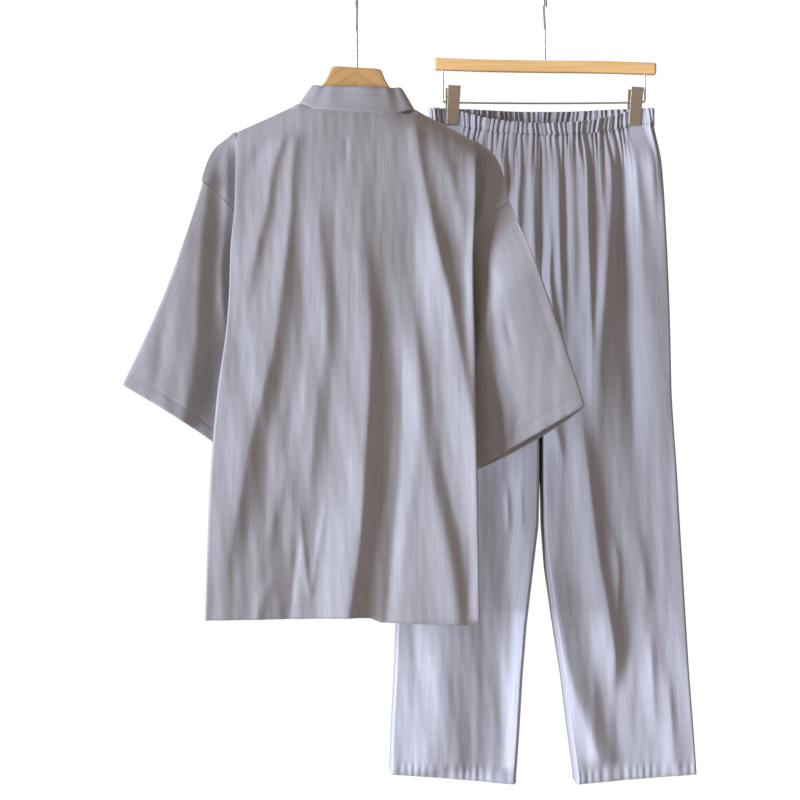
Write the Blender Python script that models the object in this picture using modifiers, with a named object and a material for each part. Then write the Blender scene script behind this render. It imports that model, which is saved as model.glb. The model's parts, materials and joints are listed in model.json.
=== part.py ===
"""A kimono pyjama set on two wooden hangers, at real size, in metres, +Z up.

The jacket hangs nearer, with its back to -Y, on a wooden shoulder hanger. The trousers hang behind it
and to its right (+X) from the two clips of a bar hanger. The wearer of the jacket faces +Y, so the
wearer's left is -X there. The near side of the trousers is taken as their front, so the wearer's left
is +X there. The origin is the inner top of the jacket's hook, where a rail touches it.

Every panel of cloth is an open surface of rows and columns, worked out by a function, with Solidify
for its wall. Tables give real sizes in millimetres, one row for each section or fold.
"""

import math

import bmesh
import bpy
import numpy as np

MM = 0.001
WALL = 1.5
SEAM = 0.9

# The jacket's shoulder line, where back and fronts meet over the hanger, from the left sleeve's seam to
# the right one: x, z. Between the sides of the neck no seam lies on it, and only depths are measured from it.
SHOULDER_COLUMNS = ("x", "z")
SHOULDER = (
    (-214, -276),
    (-206, -238),
    (-196, -220),
    (-178, -205),
    (-167, -202),
    (-120, -181),
    (-80, -162.5),
    (-45, -156),
    (0, -157),
    (45, -161),
    (80, -171),
    (120, -190.5),
    (165, -215.5),
    (186, -227),
    (200, -253),
    (211, -298),
)
NECK_LEFT = -80
NECK_RIGHT = 80

# One side of the jacket's body, a row for each height from the shoulder to the hem: the height, the
# edge of the soft fold that hides the armhole, the tuck behind that fold, the edge of the panel (the
# shoulder line, then the armhole from the fifth row, then the side seam from the eleventh), and how far
# back the back panel and the front reach at that edge.
SIDE_COLUMNS = ("z", "fold", "tuck", "edge", "back_y", "front_y")
LEFT_SIDE = (
    (-203.5, -168, -171.5, -178, -1.2, 1.2),
    (-213, -167.5, -171, -189, -4, -1),
    (-226, -166.8, -166, -199.5, -9.5, -6),
    (-246, -166.5, -161, -208, -15, -11),
    (-276, -166.5, -158, -213.5, -20, -16),
    (-286, -166.8, -157.5, -201, -27, -9),
    (-306, -167.2, -157, -182, -31, -3),
    (-324, -168.5, -156.5, -170, -32.5, 0),
    (-368, -172.6, -156, -162.5, -32.5, 2),
    (-424, -174, -155, -159, -31, -2),
    (-488, -178.5, -154.5, -158.5, -24, -19),
    (-560, -188, -155, -158.5, -20.5, -17.5),
    (-640, -195, -158, -162, -16.5, -14),
    (-720, -200, -170, -175, -12, -9.5),
    (-800, -203.5, -182, -188, -8, -5.5),
    (-877.7, -205.8, -190, -196, -5, -2.5),
)
RIGHT_SIDE = (
    (-216, 165.5, 171.5, 182, -1.2, 1.2),
    (-226, 165.5, 170, 189.5, -4, -1),
    (-240, 165.5, 164, 196.5, -9.5, -6),
    (-262, 165, 159, 203.5, -15, -11),
    (-298, 164, 156.5, 210.5, -20, -16),
    (-308, 163.5, 155.5, 201, -27, -9),
    (-322, 163, 153.5, 181, -31, -3),
    (-341, 161.8, 151, 164, -32.5, 0),
    (-383, 160, 148.5, 155.5, -32.5, 2),
    (-438, 160.5, 147, 152, -31, -2),
    (-495, 162.3, 146, 150, -24, -19),
    (-565, 162.5, 144, 147, -20.5, -17.5),
    (-645, 164, 144, 147, -16.5, -14),
    (-725, 166, 147, 151, -12, -9.5),
    (-805, 167, 153, 158, -8, -5.5),
    (-884, 168.2, 157, 163, -5, -2.5),
)
ARMHOLE_ROWS = (4, 10)

# How far the back and the fronts stand off the shoulders' plane under the hanger and at the hem, and how
# round they come over it; then the left front's step over the right one, and its gap to the band's seam.
BACK_REACH = (38, 62)
FRONT_REACH = (29, 39)
ROOF = 26
OVERLAP_STEP = 3.4
FRONT_GAP = 1.8

# The shoulder seam's distance from that plane, the heights between which the rows bend up to the
# shoulder line and down to the hem, and how deep each turn of the side's fold and tuck lies.
SHOULDER_Y = 1.2
LIFT_FROM_Z = -420
LIFT_TO_Z = -203.5
HEM_FROM_Z = -700
FOLD_TURN = 3.2
TUCK_TURN = 9

# The seam of the back neck and the hem of the back: x, z.
BACK_NECK = ((-80, -164), (-40, -172.5), (0, -176.5), (40, -176.5), (80, -172.5))
BACK_HEM = ((-206, -877.7), (-76, -876.3), (-8, -873.6), (20, -875), (33, -880.5), (168, -884))

# Soft folds that stand out of the jacket's back (rise above 0) or sink into it (below 0), a row each:
# where the fold starts (x0, z0), passes (x1, z1) and ends (x2, z2), its half width at the start (w0)
# and at the end (w1), and its rise. The trousers' folds further down have the same columns.
BACK_FOLDS = (
    (-84, -190, -122, -370, -146, -470, 8, 12, -5.0),
    (-80, -196, -108, -430, -178, -706, 8, 15, 6.0),
    (-72, -290, -112, -520, -188, -830, 6, 8, -5.0),
    (-62, -300, -66, -430, -70, -600, 7, 9, 2.5),
    (-38, -350, -20, -480, 0, -540, 6, 6, -4.0),
    (2, -400, 16, -560, -20, -870, 9, 13, 5.5),
    (18, -420, 30, -560, -4, -870, 7, 9, -6.0),
    (70, -410, 62, -620, 66, -870, 9, 20, 3.5),
    (86, -390, 112, -560, 138, -860, 9, 10, -3.0),
    (82, -180, 100, -360, 146, -700, 8, 12, 6.5),
    (92, -205, 118, -400, 152, -560, 7, 7, -5.5),
)

# The left sleeve and the right: the cuff from its outer corner to its inner one (x, z), how far the
# outer edge bows out of the straight line, and how far the cuff's far layer hangs below the near one.
SLEEVE_COLUMNS = ("x_out", "z_out", "x_mid", "z_mid", "x_in", "z_in", "bow", "far_drop")
LEFT_SLEEVE = (-322.5, -555.5, -255, -596, -170, -656, -9, 2)
RIGHT_SLEEVE = (312.5, -584, 252, -620, 162, -672, 3, 9)
SLEEVE_Y = -20
SLEEVE_DEPTH = 15.5
SLEEVE_GAP = 1.9

# The front ties, flat strips that hang from where they are sewn: x at the top, top z, x at the foot,
# and the layers of cloth of the left front that lie under each.
TIES = {"front_tie_left": (55, -585, 59, 1), "front_tie_right": (103, -590, 107, 0)}
TIE_LENGTH = 235
TIE_WIDTH = 13
TIE_WALL = 2

# The collar band, its left half from the back of the neck to the hem, a row for each section: the seam
# (x, z), then the free edge (x, z). The right half has the same rows with x turned and the shoulders' slope.
BAND_COLUMNS = ("seam_x", "seam_z", "free_x", "free_z")
BAND = (
    (-28, -172.2, -24, -138.2),
    (-56, -167.2, -46, -138.6),
    (-77, -161.5, -61, -139.5),
    (-84, -184, -61, -160),
    (-78, -224, -46, -205),
    (-60, -272, -25, -256),
    (-26, -356, 9, -340),
    (6, -440, 42, -428),
    (22, -530, 60, -524),
    (27, -640, 65, -638),
    (30, -760, 68, -760),
    (31, -876, 69, -876),
)

# The legs, a row for each height: the outer edge and the inseam of each leg, and the half depth.
LEG_COLUMNS = ("z", "out_low_x", "in_low_x", "in_high_x", "out_high_x", "depth")
LEGS = (
    (-177, 103.5, 263.6, 263.6, 430.5, 23),
    (-215, 94, 263.6, 263.6, 438, 31),
    (-260, 90, 263.6, 263.6, 442, 36),
    (-320, 86, 263.6, 263.6, 445.5, 39),
    (-425, 81, 263.6, 263.6, 450, 41),
    (-505, 79, 262.2, 264.8, 452, 42),
    (-556, 77, 261.6, 265, 453, 42),
    (-688, 69, 261.2, 265, 461.5, 42),
    (-757, 65, 260.2, 265.4, 465.5, 41),
    (-819, 60, 254.3, 270, 469.5, 40),
    (-902, 54, 244.5, 282, 474.5, 40),
    (-976, 51, 238.5, 293.7, 479, 41),
    (-1055, 47, 233.8, 303.5, 485, 42),
    (-1122, 44.5, 229, 312.5, 489.5, 43),
)
TROUSERS_Y = 110
CROTCH_Z = -505
SEAT_Z = -395
NEAR_DIP = 18
FAR_DIP = 1

TROUSER_FOLDS = (
    (252, -215, 248, -300, 240, -420, 7, 8, 3.5),
    (289, -205, 291, -330, 300, -470, 6, 8, 4.0),
    (303, -210, 300, -300, 296, -420, 5, 5, -4.0),
    (325, -205, 324, -330, 322, -520, 9, 12, 5.0),
    (346, -205, 344, -300, 338, -420, 5, 5, -4.5),
    (366, -200, 366, -290, 356, -440, 8, 9, 5.0),
    (381, -215, 372, -430, 372, -780, 11, 20, -9.0),
    (404, -210, 410, -500, 430, -900, 14, 20, 6.0),
    (282, -520, 318, -750, 366, -1060, 10, 12, 7.0),
    (290, -600, 324, -860, 362, -1090, 7, 8, -6.0),
    (384, -760, 388, -880, 372, -1010, 14, 9, -5.0),
    (160, -215, 150, -500, 140, -900, 12, 16, 4.5),
    (205, -210, 205, -500, 200, -1000, 12, 18, -5.0),
    (232, -560, 238, -800, 220, -1080, 8, 9, 6.0),
    (100, -640, 96, -860, 92, -1080, 14, 18, 4.0),
)

BAND_HEIGHT = 24.5
BAND_TOP_Z = -151
BAND_WAVES = 36
BAND_RISE = 2.1
PANEL_WAVES = 8
PANEL_RISE = 2.6
WAIST_X = (102, 431.5)
CLIP_X = (138.3, 404.5)
CLIP_WIDTH = 20
PINCH = 2.6
WAIST_BOW = 23

WOOD_DEPTH = 12
# The jacket hanger's arms, outward from the middle: x from the middle, top z, bottom z.
ARM_COLUMNS = ("x", "top", "bottom")
LEFT_ARM = (
    (-0.2, -110, -150),
    (-34, -110, -157),
    (-41, -121, -160),
    (-49, -136, -166),
    (-64, -161, -176),
    (-80, -169, -188),
    (-120, -187.5, -209),
    (-150, -201.5, -222),
    (-166, -210, -229),
    (-173, -216, -227),
)
RIGHT_ARM = (
    (0.2, -110, -150),
    (33.5, -114, -161),
    (40, -125, -164),
    (47, -140, -171),
    (62, -167, -181),
    (80, -178, -196),
    (120, -198, -220),
    (150, -213.5, -236),
    (172, -226, -247),
    (179, -233, -243),
)

WIRE = 1.5
HOOK_INNER = 19.5
HOOK_NECK = 42
TROUSERS_HOOK = (271.8, TROUSERS_Y, 24)
BAR = {"x": (109.8, 433.8), "top": (-78, -85.3), "height": 17.5, "depth": 13}
FRAME_X = (122.9, 417.7)
FRAME_Z = -142.7
FRAME_BEND = 3
CLIP_TOP = (-118.6, -121)
CLIP_FOOT = (-177, -177.5)

CLOTH = (0.36, 0.33, 0.37)
TROUSER_CLOTH = (0.33, 0.30, 0.34)
WOOD = (0.56, 0.32, 0.13)
STEEL = (0.78, 0.76, 0.74)
CLIP_METAL = (0.52, 0.42, 0.30)


def table(rows, names, name):
    """One named column of a table, as an array."""
    return np.array([row[names.index(name)] for row in rows], float)


def smooth(at, knots, values):
    """A curve through the values at rising knots, each stretch a cubic with the slopes of its neighbours."""
    knots = np.asarray(knots, float)
    values = np.asarray(values, float)
    slopes = np.gradient(values, knots)
    at = np.clip(at, knots[0], knots[-1])
    i = np.clip(np.searchsorted(knots, at) - 1, 0, len(knots) - 2)
    h = knots[i + 1] - knots[i]
    t = (at - knots[i]) / h
    start = (2 * t**3 - 3 * t**2 + 1) * values[i] + (t**3 - 2 * t**2 + t) * h * slopes[i]
    end = (3 * t**2 - 2 * t**3) * values[i + 1] + (t**3 - t**2) * h * slopes[i + 1]
    return start + end


def ease(t):
    """0 at 0 and 1 at 1, flat at both ends."""
    t = np.clip(t, 0, 1)
    return t * t * (3 - 2 * t)


def folds(x, z, rows):
    """How far the folds stand out at (x, z): round ridges along their own bent paths, faded at their ends."""
    total = np.zeros(np.broadcast(x, z).shape)
    for x0, z0, x1, z1, x2, z2, w0, w1, rise in rows:
        knots = np.array([-z0, -z1, -z2], float)
        middle = smooth(-z, knots, [x0, x1, x2])
        along = np.clip((z0 - z) / (z0 - z2), 0, 1)
        inside = ease(along / 0.18) * ease((1 - along) / 0.22)
        width = w0 + (w1 - w0) * along
        total = total + rise * inside * np.exp(-(((x - middle) / width) ** 2))
    return total


def shoulder_z(x):
    return np.interp(x, table(SHOULDER, SHOULDER_COLUMNS, "x"), table(SHOULDER, SHOULDER_COLUMNS, "z"))


def reach(x, z, limits):
    """How far a panel stands off the shoulders' plane: round over the hanger, then slowly further down."""
    below = np.maximum(shoulder_z(x) - z, 0)
    full = limits[0] + (limits[1] - limits[0]) * np.clip((-200 - z) / 680, 0, 1)
    return full * (1 - np.exp(-below / ROOF))


def back_y(x, z):
    return -reach(x, z, BACK_REACH) - folds(x, z, BACK_FOLDS)


def front_y(x, z):
    return reach(x, z, FRONT_REACH)


def new_material(name, colour, roughness, metallic=0.0):
    material = bpy.data.materials.new(name)
    material.use_nodes = True
    shader = material.node_tree.nodes["Principled BSDF"]
    shader.inputs["Base Color"].default_value = (*colour, 1)
    shader.inputs["Roughness"].default_value = roughness
    shader.inputs["Metallic"].default_value = metallic
    return material


def add_object(name, data, finish):
    piece = bpy.data.objects.new(name, data)
    data.materials.append(new_material(name, *finish))
    bpy.data.collections["kimono_pyjama_set"].objects.link(piece)
    return piece


def grid_mesh(name, points, closed):
    """Quads through rows by columns of points in millimetres; closed joins the last column to the first."""
    rows, columns = points.shape[:2]
    mesh = bpy.data.meshes.new(name)
    faces = [
        (
            r * columns + c,
            r * columns + (c + 1) % columns,
            (r + 1) * columns + (c + 1) % columns,
            (r + 1) * columns + c,
        )
        for r in range(rows - 1)
        for c in range(columns if closed else columns - 1)
    ]
    mesh.from_pydata((points.reshape(-1, 3) * MM).tolist(), [], faces)
    mesh.shade_smooth()
    return mesh


def cloth(name, points, colour, closed=False):
    """A piece of cloth: the surface through the points, with half its wall on each side."""
    piece = add_object(name, grid_mesh(name, points, closed), (colour, 0.75))
    wall = piece.modifiers.new("wall", "SOLIDIFY")
    wall.thickness = WALL * MM
    wall.offset = 0
    return piece


def loft(name, rings, finish):
    """A closed solid through rings of points in millimetres, with flat ends."""
    count, around = rings.shape[:2]
    mesh = grid_mesh(name, rings, closed=True)
    work = bmesh.new()
    work.from_mesh(mesh)
    work.verts.ensure_lookup_table()
    work.faces.new([work.verts[i] for i in range(around)])
    work.faces.new([work.verts[(count - 1) * around + i] for i in range(around)])
    bmesh.ops.recalc_face_normals(work, faces=work.faces)
    work.to_mesh(mesh)
    work.free()
    mesh.set_sharp_from_angle(angle=math.radians(40))
    return add_object(name, mesh, finish)


def side_of(rows):
    return {name: table(rows, SIDE_COLUMNS, name) for name in SIDE_COLUMNS}


def jacket_back():
    """The back: the main face between its two folds, then each side's tuck and the strip out to the seam."""
    left, right = side_of(LEFT_SIDE), side_of(RIGHT_SIDE)
    main = np.linspace(0, 1, 41)[1:-1]
    lift_fade = np.clip((left["z"] - LIFT_FROM_Z) / (LIFT_TO_Z - LIFT_FROM_Z), 0, 1)
    hem_fade = np.clip((HEM_FROM_Z - left["z"]) / (HEM_FROM_Z - left["z"][-1]), 0, 1) ** 2
    middle = []
    for share in main:
        x = left["fold"] + (right["fold"] - left["fold"]) * share
        z = left["z"] + (right["z"] - left["z"]) * share
        top = shoulder_z(x[0])
        if NECK_LEFT < x[0] < NECK_RIGHT:
            top = smooth(x[0], *zip(*BACK_NECK))
        z = z + (top - z[0]) * lift_fade
        z = z + (np.interp(x[-1], *zip(*BACK_HEM)) - z[-1]) * hem_fade
        seam_lap = 0.4 * SEAM * (z > left["z"][2])
        middle.append(np.stack([x, back_y(x, z) - seam_lap, z], axis=-1))
    sides = {}
    for name, side in (("left", left), ("right", right)):
        face = back_y(side["fold"], side["z"])
        fold_y = face + FOLD_TURN
        tuck_y = np.minimum(face + TUCK_TURN, side["back_y"] - FOLD_TURN)
        fold_y[0] = tuck_y[0] = -SHOULDER_Y
        turned = [
            (side["fold"], fold_y),
            (side["tuck"], tuck_y),
            ((side["tuck"] + side["edge"]) / 2, 0.4 * tuck_y + 0.6 * side["back_y"]),
            (side["edge"], side["back_y"] - 0.3 * SEAM),
        ]
        sides[name] = [np.stack([x, y, side["z"]], axis=-1) for x, y in turned]
    columns = sides["left"][::-1] + middle + sides["right"]
    cloth("jacket_back", np.stack(columns, axis=1), CLOTH)


def band_half(turn):
    """The collar band's sections on one side: seam and free edge as x, y, z. turn is -1 left and 1 right."""
    values = {name: table(BAND, BAND_COLUMNS, name) for name in BAND_COLUMNS}
    step = OVERLAP_STEP if turn < 0 else 0
    ends = []
    for part in ("seam", "free"):
        x = values[part + "_x"] * -turn
        slope = (shoulder_z(x) - shoulder_z(-np.abs(x))) * np.clip((values[part + "_z"] + 420) / 220, 0, 1)
        z = values[part + "_z"] + slope
        y = front_y(x, z) + step * ease((-z - 190) / 120)
        ends.append([x, y, z])
    return ends


def jacket_fronts():
    """The two fronts: from the shoulder and the side seam round to the band's seam."""
    for name, rows, turn in (("jacket_front_left", LEFT_SIDE, -1), ("jacket_front_right", RIGHT_SIDE, 1)):
        side = side_of(rows)
        seam_x, _, seam_z = band_half(turn)[0]
        seam_x, seam_z = seam_x[2:], seam_z[2:]
        down = (side["z"][0] - side["z"]) / (side["z"][0] - side["z"][-1])
        edge_z = seam_z[0] - 2 + (seam_z[-1] - seam_z[0] + 2) * down
        edge_x = smooth(-edge_z, -seam_z, seam_x) + turn * FRONT_GAP
        step = OVERLAP_STEP if turn < 0 else 0
        columns = [np.stack([side["edge"], side["front_y"] + 0.3 * SEAM, side["z"]], axis=-1)]
        turned_y = front_y(side["tuck"], side["z"])
        for share, inward in ((0.5, 1.5), (0.86, 7)):
            x = side["edge"] * (1 - share) + side["tuck"] * share - turn * inward
            y = side["front_y"] * (1 - share) + turned_y * share
            y[0] = SHOULDER_Y
            columns.append(np.stack([x, y, side["z"]], axis=-1))
        start_x = side["tuck"] - turn * 22
        for share in np.linspace(0, 1, 13):
            x = start_x + (edge_x - start_x) * share
            z = side["z"] + (edge_z - side["z"]) * share
            z[0] = shoulder_z(x[0])
            y = front_y(x, z) + step * ease((-z - 190) / 120) * ease(share * 3)
            y[0] = SHOULDER_Y
            columns.append(np.stack([x, y, z], axis=-1))
        cloth(name, np.stack(columns, axis=1), CLOTH)


def collar_band():
    """The band: a strip from the left front's hem, up, round the neck, and down to the right hem."""
    left, right = band_half(-1), band_half(1)
    edges = []
    for part in (0, 1):
        x, y, z = (np.concatenate([left[part][i][::-1], right[part][i]]) for i in range(3))
        from_middle = np.abs(np.arange(2 * len(BAND)) - len(BAND) + 0.5)
        if part == 0:
            depth = -reach(x, z, BACK_REACH)
            throat = y * 0.85
        else:
            y = np.where(np.abs(from_middle - 3.5) < 0.1, throat, y)
        y = np.where(from_middle < 2, depth * (0.8 if part else 1), y)
        y = np.where(np.abs(from_middle - 2.5) < 0.1, 0, y)
        edges.append(np.stack([x, y, z], axis=-1))
    knots = np.arange(len(edges[0]))
    fine = np.linspace(0, len(knots) - 1, 61)
    seam, free = (
        np.stack([smooth(fine, knots, edge[:, i]) for i in range(3)], axis=-1) for edge in edges
    )
    across = np.linspace(0, 1, 4)[None, :, None]
    cloth("collar_band", seam[:, None] + (free - seam)[:, None] * across, CLOTH)


def ties():
    """The front ties: straight strips on the front's own surface, moved out by the walls between."""
    for name, (top_x, top_z, foot_x, layers) in TIES.items():
        down = np.linspace(0, 1, 7)[:, None]
        across = np.linspace(-0.5, 0.5, 3)[None, :]
        x = top_x + (foot_x - top_x) * down + TIE_WIDTH * across
        z = top_z - TIE_LENGTH * down + 0 * across
        y = front_y(x, z) + OVERLAP_STEP * layers + (WALL + TIE_WALL) / 2 + 0.35
        strip = cloth(name, np.stack([x, y, z], axis=-1), CLOTH)
        strip.modifiers["wall"].thickness = TIE_WALL * MM


def armhole(side, share):
    """The armhole's seam at shares of its length from the top to the underarm: x, z, back y and front y."""
    first, last = ARMHOLE_ROWS
    pick = slice(first, last + 1)
    steps = np.hypot(np.diff(side["edge"][pick]), np.diff(side["z"][pick]))
    along = np.concatenate([[0], np.cumsum(steps)]) / steps.sum()
    return [np.interp(share, along, side[name][pick]) for name in ("edge", "z", "back_y", "front_y")]


def sleeve(name, rows, cut, turn):
    """A flattened tube from the armhole to the cuff, deepest midway between outer edge and underarm."""
    side = side_of(rows)
    size = dict(zip(SLEEVE_COLUMNS, cut))
    angle = np.linspace(0, 2 * math.pi, 25)[:-1]
    share = (1 - np.cos(angle)) / 2
    near = np.sin(angle) > -1e-6
    x, z, back, front = armhole(side, share)
    step = 0.02
    x_a, z_a = armhole(side, np.clip(share - step, 0, 1))[:2]
    x_b, z_b = armhole(side, np.clip(share + step, 0, 1))[:2]
    length = np.hypot(x_b - x_a, z_b - z_a)
    out_x, out_z = (z_b - z_a) / length * -turn, (x_b - x_a) / length * turn
    x, z = x + out_x * SLEEVE_GAP, z + out_z * SLEEVE_GAP
    middle = (back + front) / 2
    seam_y = middle + np.where(near, back - middle, front - middle)
    seam_y = np.where((share < 0.01) | (share > 0.99), middle, seam_y)
    cuff_x = smooth(share, (0, 0.45, 1), (size["x_out"], size["x_mid"], size["x_in"]))
    cuff_z = smooth(share, (0, 0.45, 1), (size["z_out"], size["z_mid"], size["z_in"]))
    cuff_z = cuff_z - np.where(near, 0, size["far_drop"] * np.sin(math.pi * share) ** 0.5)
    rings = []
    for along in (0, 0.06, 0.15, 0.3, 0.48, 0.66, 0.84, 1):
        bow = size["bow"] * turn * math.sin(math.pi * along) * (1 - share)
        ring_x = x + (cuff_x - x) * along + bow
        ring_z = z + (cuff_z - z) * along
        hung = SLEEVE_Y - SLEEVE_DEPTH * np.sin(angle)
        ring_y = seam_y + (hung - seam_y) * ease(along / 0.35)
        rings.append(np.stack([ring_x, ring_y, ring_z], axis=-1))
    cloth(name, np.stack(rings), CLOTH, closed=True)


def waist_bow(x):
    """Half the distance between the waist's near and far layers: pinched in the clips, bowed between."""
    beyond = CLIP_WIDTH / 2 + 2
    inner = ease((x - CLIP_X[0] - beyond) / 100) * ease((CLIP_X[1] - beyond - x) / 100)
    low = np.clip((CLIP_X[0] - beyond - x) / (CLIP_X[0] - beyond - WAIST_X[0]), 0, 1)
    high = np.clip((x - CLIP_X[1] - beyond) / (WAIST_X[1] - CLIP_X[1] - beyond), 0, 1)
    outer = low + high
    loops = np.where(outer > 0, 6 * np.sin(math.pi * np.clip(outer, 0, 1) ** 1.6) ** 0.8, 0)
    return PINCH + (WAIST_BOW - PINCH) * inner + loops


def waist_dip(x, drop):
    """How far the waist sags between its clips."""
    middle = sum(CLIP_X) / 2
    half = (CLIP_X[1] - CLIP_X[0]) / 2
    return drop * np.clip(1 - ((x - middle) / half) ** 2, 0, 1)


def free_of_clips(x):
    away = np.minimum(np.abs(x - CLIP_X[0]), np.abs(x - CLIP_X[1])) - CLIP_WIDTH / 2 - 2
    ends = np.minimum(x - WAIST_X[0], WAIST_X[1] - x)
    return ease(away / 15) * ease((ends - 2) / 10)


def waistband():
    """A ring of gathered casing: a near layer from the low x to the high x, and a far layer back."""
    half = BAND_WAVES * 4
    share = (np.arange(half) + 0.5) / half
    low, high = WAIST_X
    x_near = low + (high - low) * share
    rows = []
    for level in (0, 1):
        ring = []
        for x, sign, drop in ((x_near, -1, NEAR_DIP), (x_near[::-1], 1, FAR_DIP)):
            ends = np.clip(np.minimum(x - low, high - x) / 5, 0, 1)
            bow = waist_bow(x) * np.sqrt(1 - (1 - ends) ** 2)
            phase = (x - low) / (high - low) * BAND_WAVES * 2 * math.pi
            wave = BAND_RISE * np.cos(phase) * free_of_clips(x)
            z = BAND_TOP_Z - waist_dip(x, drop) - BAND_HEIGHT * level
            ring.append(np.stack([x, TROUSERS_Y + sign * bow + wave, z], axis=-1))
        rows.append(np.concatenate(ring))
    cloth("waistband", np.stack(rows), TROUSER_CLOTH, closed=True)


def leg_panels():
    """Four panels from waistband to hem; each runs from its side seam to the centre seam and inseam."""
    leg = {name: table(LEGS, LEG_COLUMNS, name) for name in LEG_COLUMNS}
    levels = np.array([0, 0.018, 0.05, 0.1, 0.18, 0.27, 0.345, 0.5, 0.66, 0.83, 1])
    across = np.linspace(0, 1, PANEL_WAVES * 4 + 1)
    for part, sign in (("front", -1), ("back", 1)):
        drop = NEAR_DIP if sign < 0 else FAR_DIP
        for wearer, out, inner, turn in (
            ("left", "out_high_x", "in_high_x", -1),
            ("right", "out_low_x", "in_low_x", 1),
        ):
            columns = []
            for share in across:
                x_top = leg[out][0] + (leg[inner][0] - leg[out][0]) * share
                top = BAND_TOP_Z - BAND_HEIGHT - 0.5 - waist_dip(x_top, drop)
                z = top + (leg["z"][-1] - top) * levels
                outer = smooth(-z, -leg["z"], leg[out])
                centre = np.interp(-z, -leg["z"], leg[inner]) - turn * SEAM * (z > CROTCH_Z - 3)
                x = outer + (centre - outer) * share
                depth = smooth(-z, -leg["z"], leg["depth"])
                seat = ease((z - CROTCH_Z - 5) / (SEAT_Z - CROTCH_Z))
                rise = np.sqrt(1 - (1 - share) ** 2.2)
                arch = np.sin(math.pi * share) ** 0.62 if 0 < share < 1 else 0.0
                lens = depth * (seat * rise + (1 - seat) * arch)
                hung = ease((top - z) / 70)
                bow = waist_bow(x_top) * np.sqrt(1 - (1 - min(share * 18, 1)) ** 2)
                wave = PANEL_RISE * math.cos(share * PANEL_WAVES * 2 * math.pi) * free_of_clips(x_top)
                gather = wave * np.exp(-(top - z) / 45) * math.sin(math.pi * share) ** 0.2
                lens = bow + (lens - bow) * hung
                if sign < 0:
                    lens = lens + folds(x, z, TROUSER_FOLDS) * ease(share * 9) * hung
                y = TROUSERS_Y + sign * np.maximum(lens, 1.1) + gather
                columns.append(np.stack([x, y, z], axis=-1))
            cloth(f"trousers_{part}_{wearer}", np.stack(columns, axis=1), TROUSER_CLOTH)


def hanger_arm(name, rows):
    """One mitred half: sections along x, each a flat bar on edge with round top and bottom edges."""
    x, top, bottom = (table(rows, ARM_COLUMNS, column) for column in ARM_COLUMNS)
    half = WOOD_DEPTH / 2
    angle = np.linspace(0, math.pi, 6)
    rings = []
    for x_here, top_here, bottom_here in zip(x, top, bottom):
        thick = half * (0.75 if abs(x_here) > 170 else 1)
        over = np.stack([0 * angle, thick * np.cos(angle), top_here - half + half * np.sin(angle)], axis=-1)
        under = np.stack([0 * angle, -thick * np.cos(angle), bottom_here + 3 - 3 * np.sin(angle)], axis=-1)
        ring = np.concatenate([over, under])
        ring[:, 0] = x_here
        rings.append(ring)
    loft(name, np.stack(rings), (WOOD, 0.4))


def wire(name, points):
    """A round wire through points in millimetres."""
    data = bpy.data.curves.new(name, "CURVE")
    data.dimensions = "3D"
    data.bevel_depth = WIRE * MM
    data.bevel_resolution = 2
    data.use_fill_caps = True
    line = data.splines.new("POLY")
    line.points.add(len(points) - 1)
    for point, (x, y, z) in zip(line.points, points):
        point.co = (x * MM, y * MM, z * MM, 1)
    add_object(name, data, (STEEL, 0.25, 1.0))


def hook(name, foot, top):
    """A hanger hook seen edge on: up from its foot, out to +Y, over a round bend and down to its tip."""
    x, y, top_z = top
    radius = HOOK_INNER + WIRE
    centre = top_z - HOOK_INNER
    points = [(x, y, foot), (x, y, (foot + centre - HOOK_NECK) / 2)]
    for share in np.linspace(0, 1, 8)[:-1]:
        points.append((x, y + radius * ease(share), centre - HOOK_NECK * (1 - share)))
    for turn in np.linspace(0, math.pi, 17):
        points.append((x, y + radius * math.cos(turn), centre + radius * math.sin(turn)))
    points.append((x, y - radius - 0.6, centre - 6))
    points.append((x, y - radius - 2.2, centre - 12))
    wire(name, points)


def clip_frame():
    """The wire under the bar: down, along under both clips, and up again, with round bends."""
    low, high = FRAME_X
    left_top, right_top = np.interp(FRAME_X, BAR["x"], BAR["top"]) - BAR["height"] - 0.4
    turns = np.linspace(0, math.pi / 2, 6)
    points = [(low, TROUSERS_Y, left_top)]
    for turn in turns:
        x = low + FRAME_BEND * (1 - math.cos(turn))
        points.append((x, TROUSERS_Y, FRAME_Z + FRAME_BEND * (1 - math.sin(turn))))
    for turn in turns[::-1]:
        x = high - FRAME_BEND * (1 - math.cos(turn))
        points.append((x, TROUSERS_Y, FRAME_Z + FRAME_BEND * (1 - math.sin(turn))))
    points.append((high, TROUSERS_Y, right_top))
    wire("trousers_hanger_frame", points)


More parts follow.
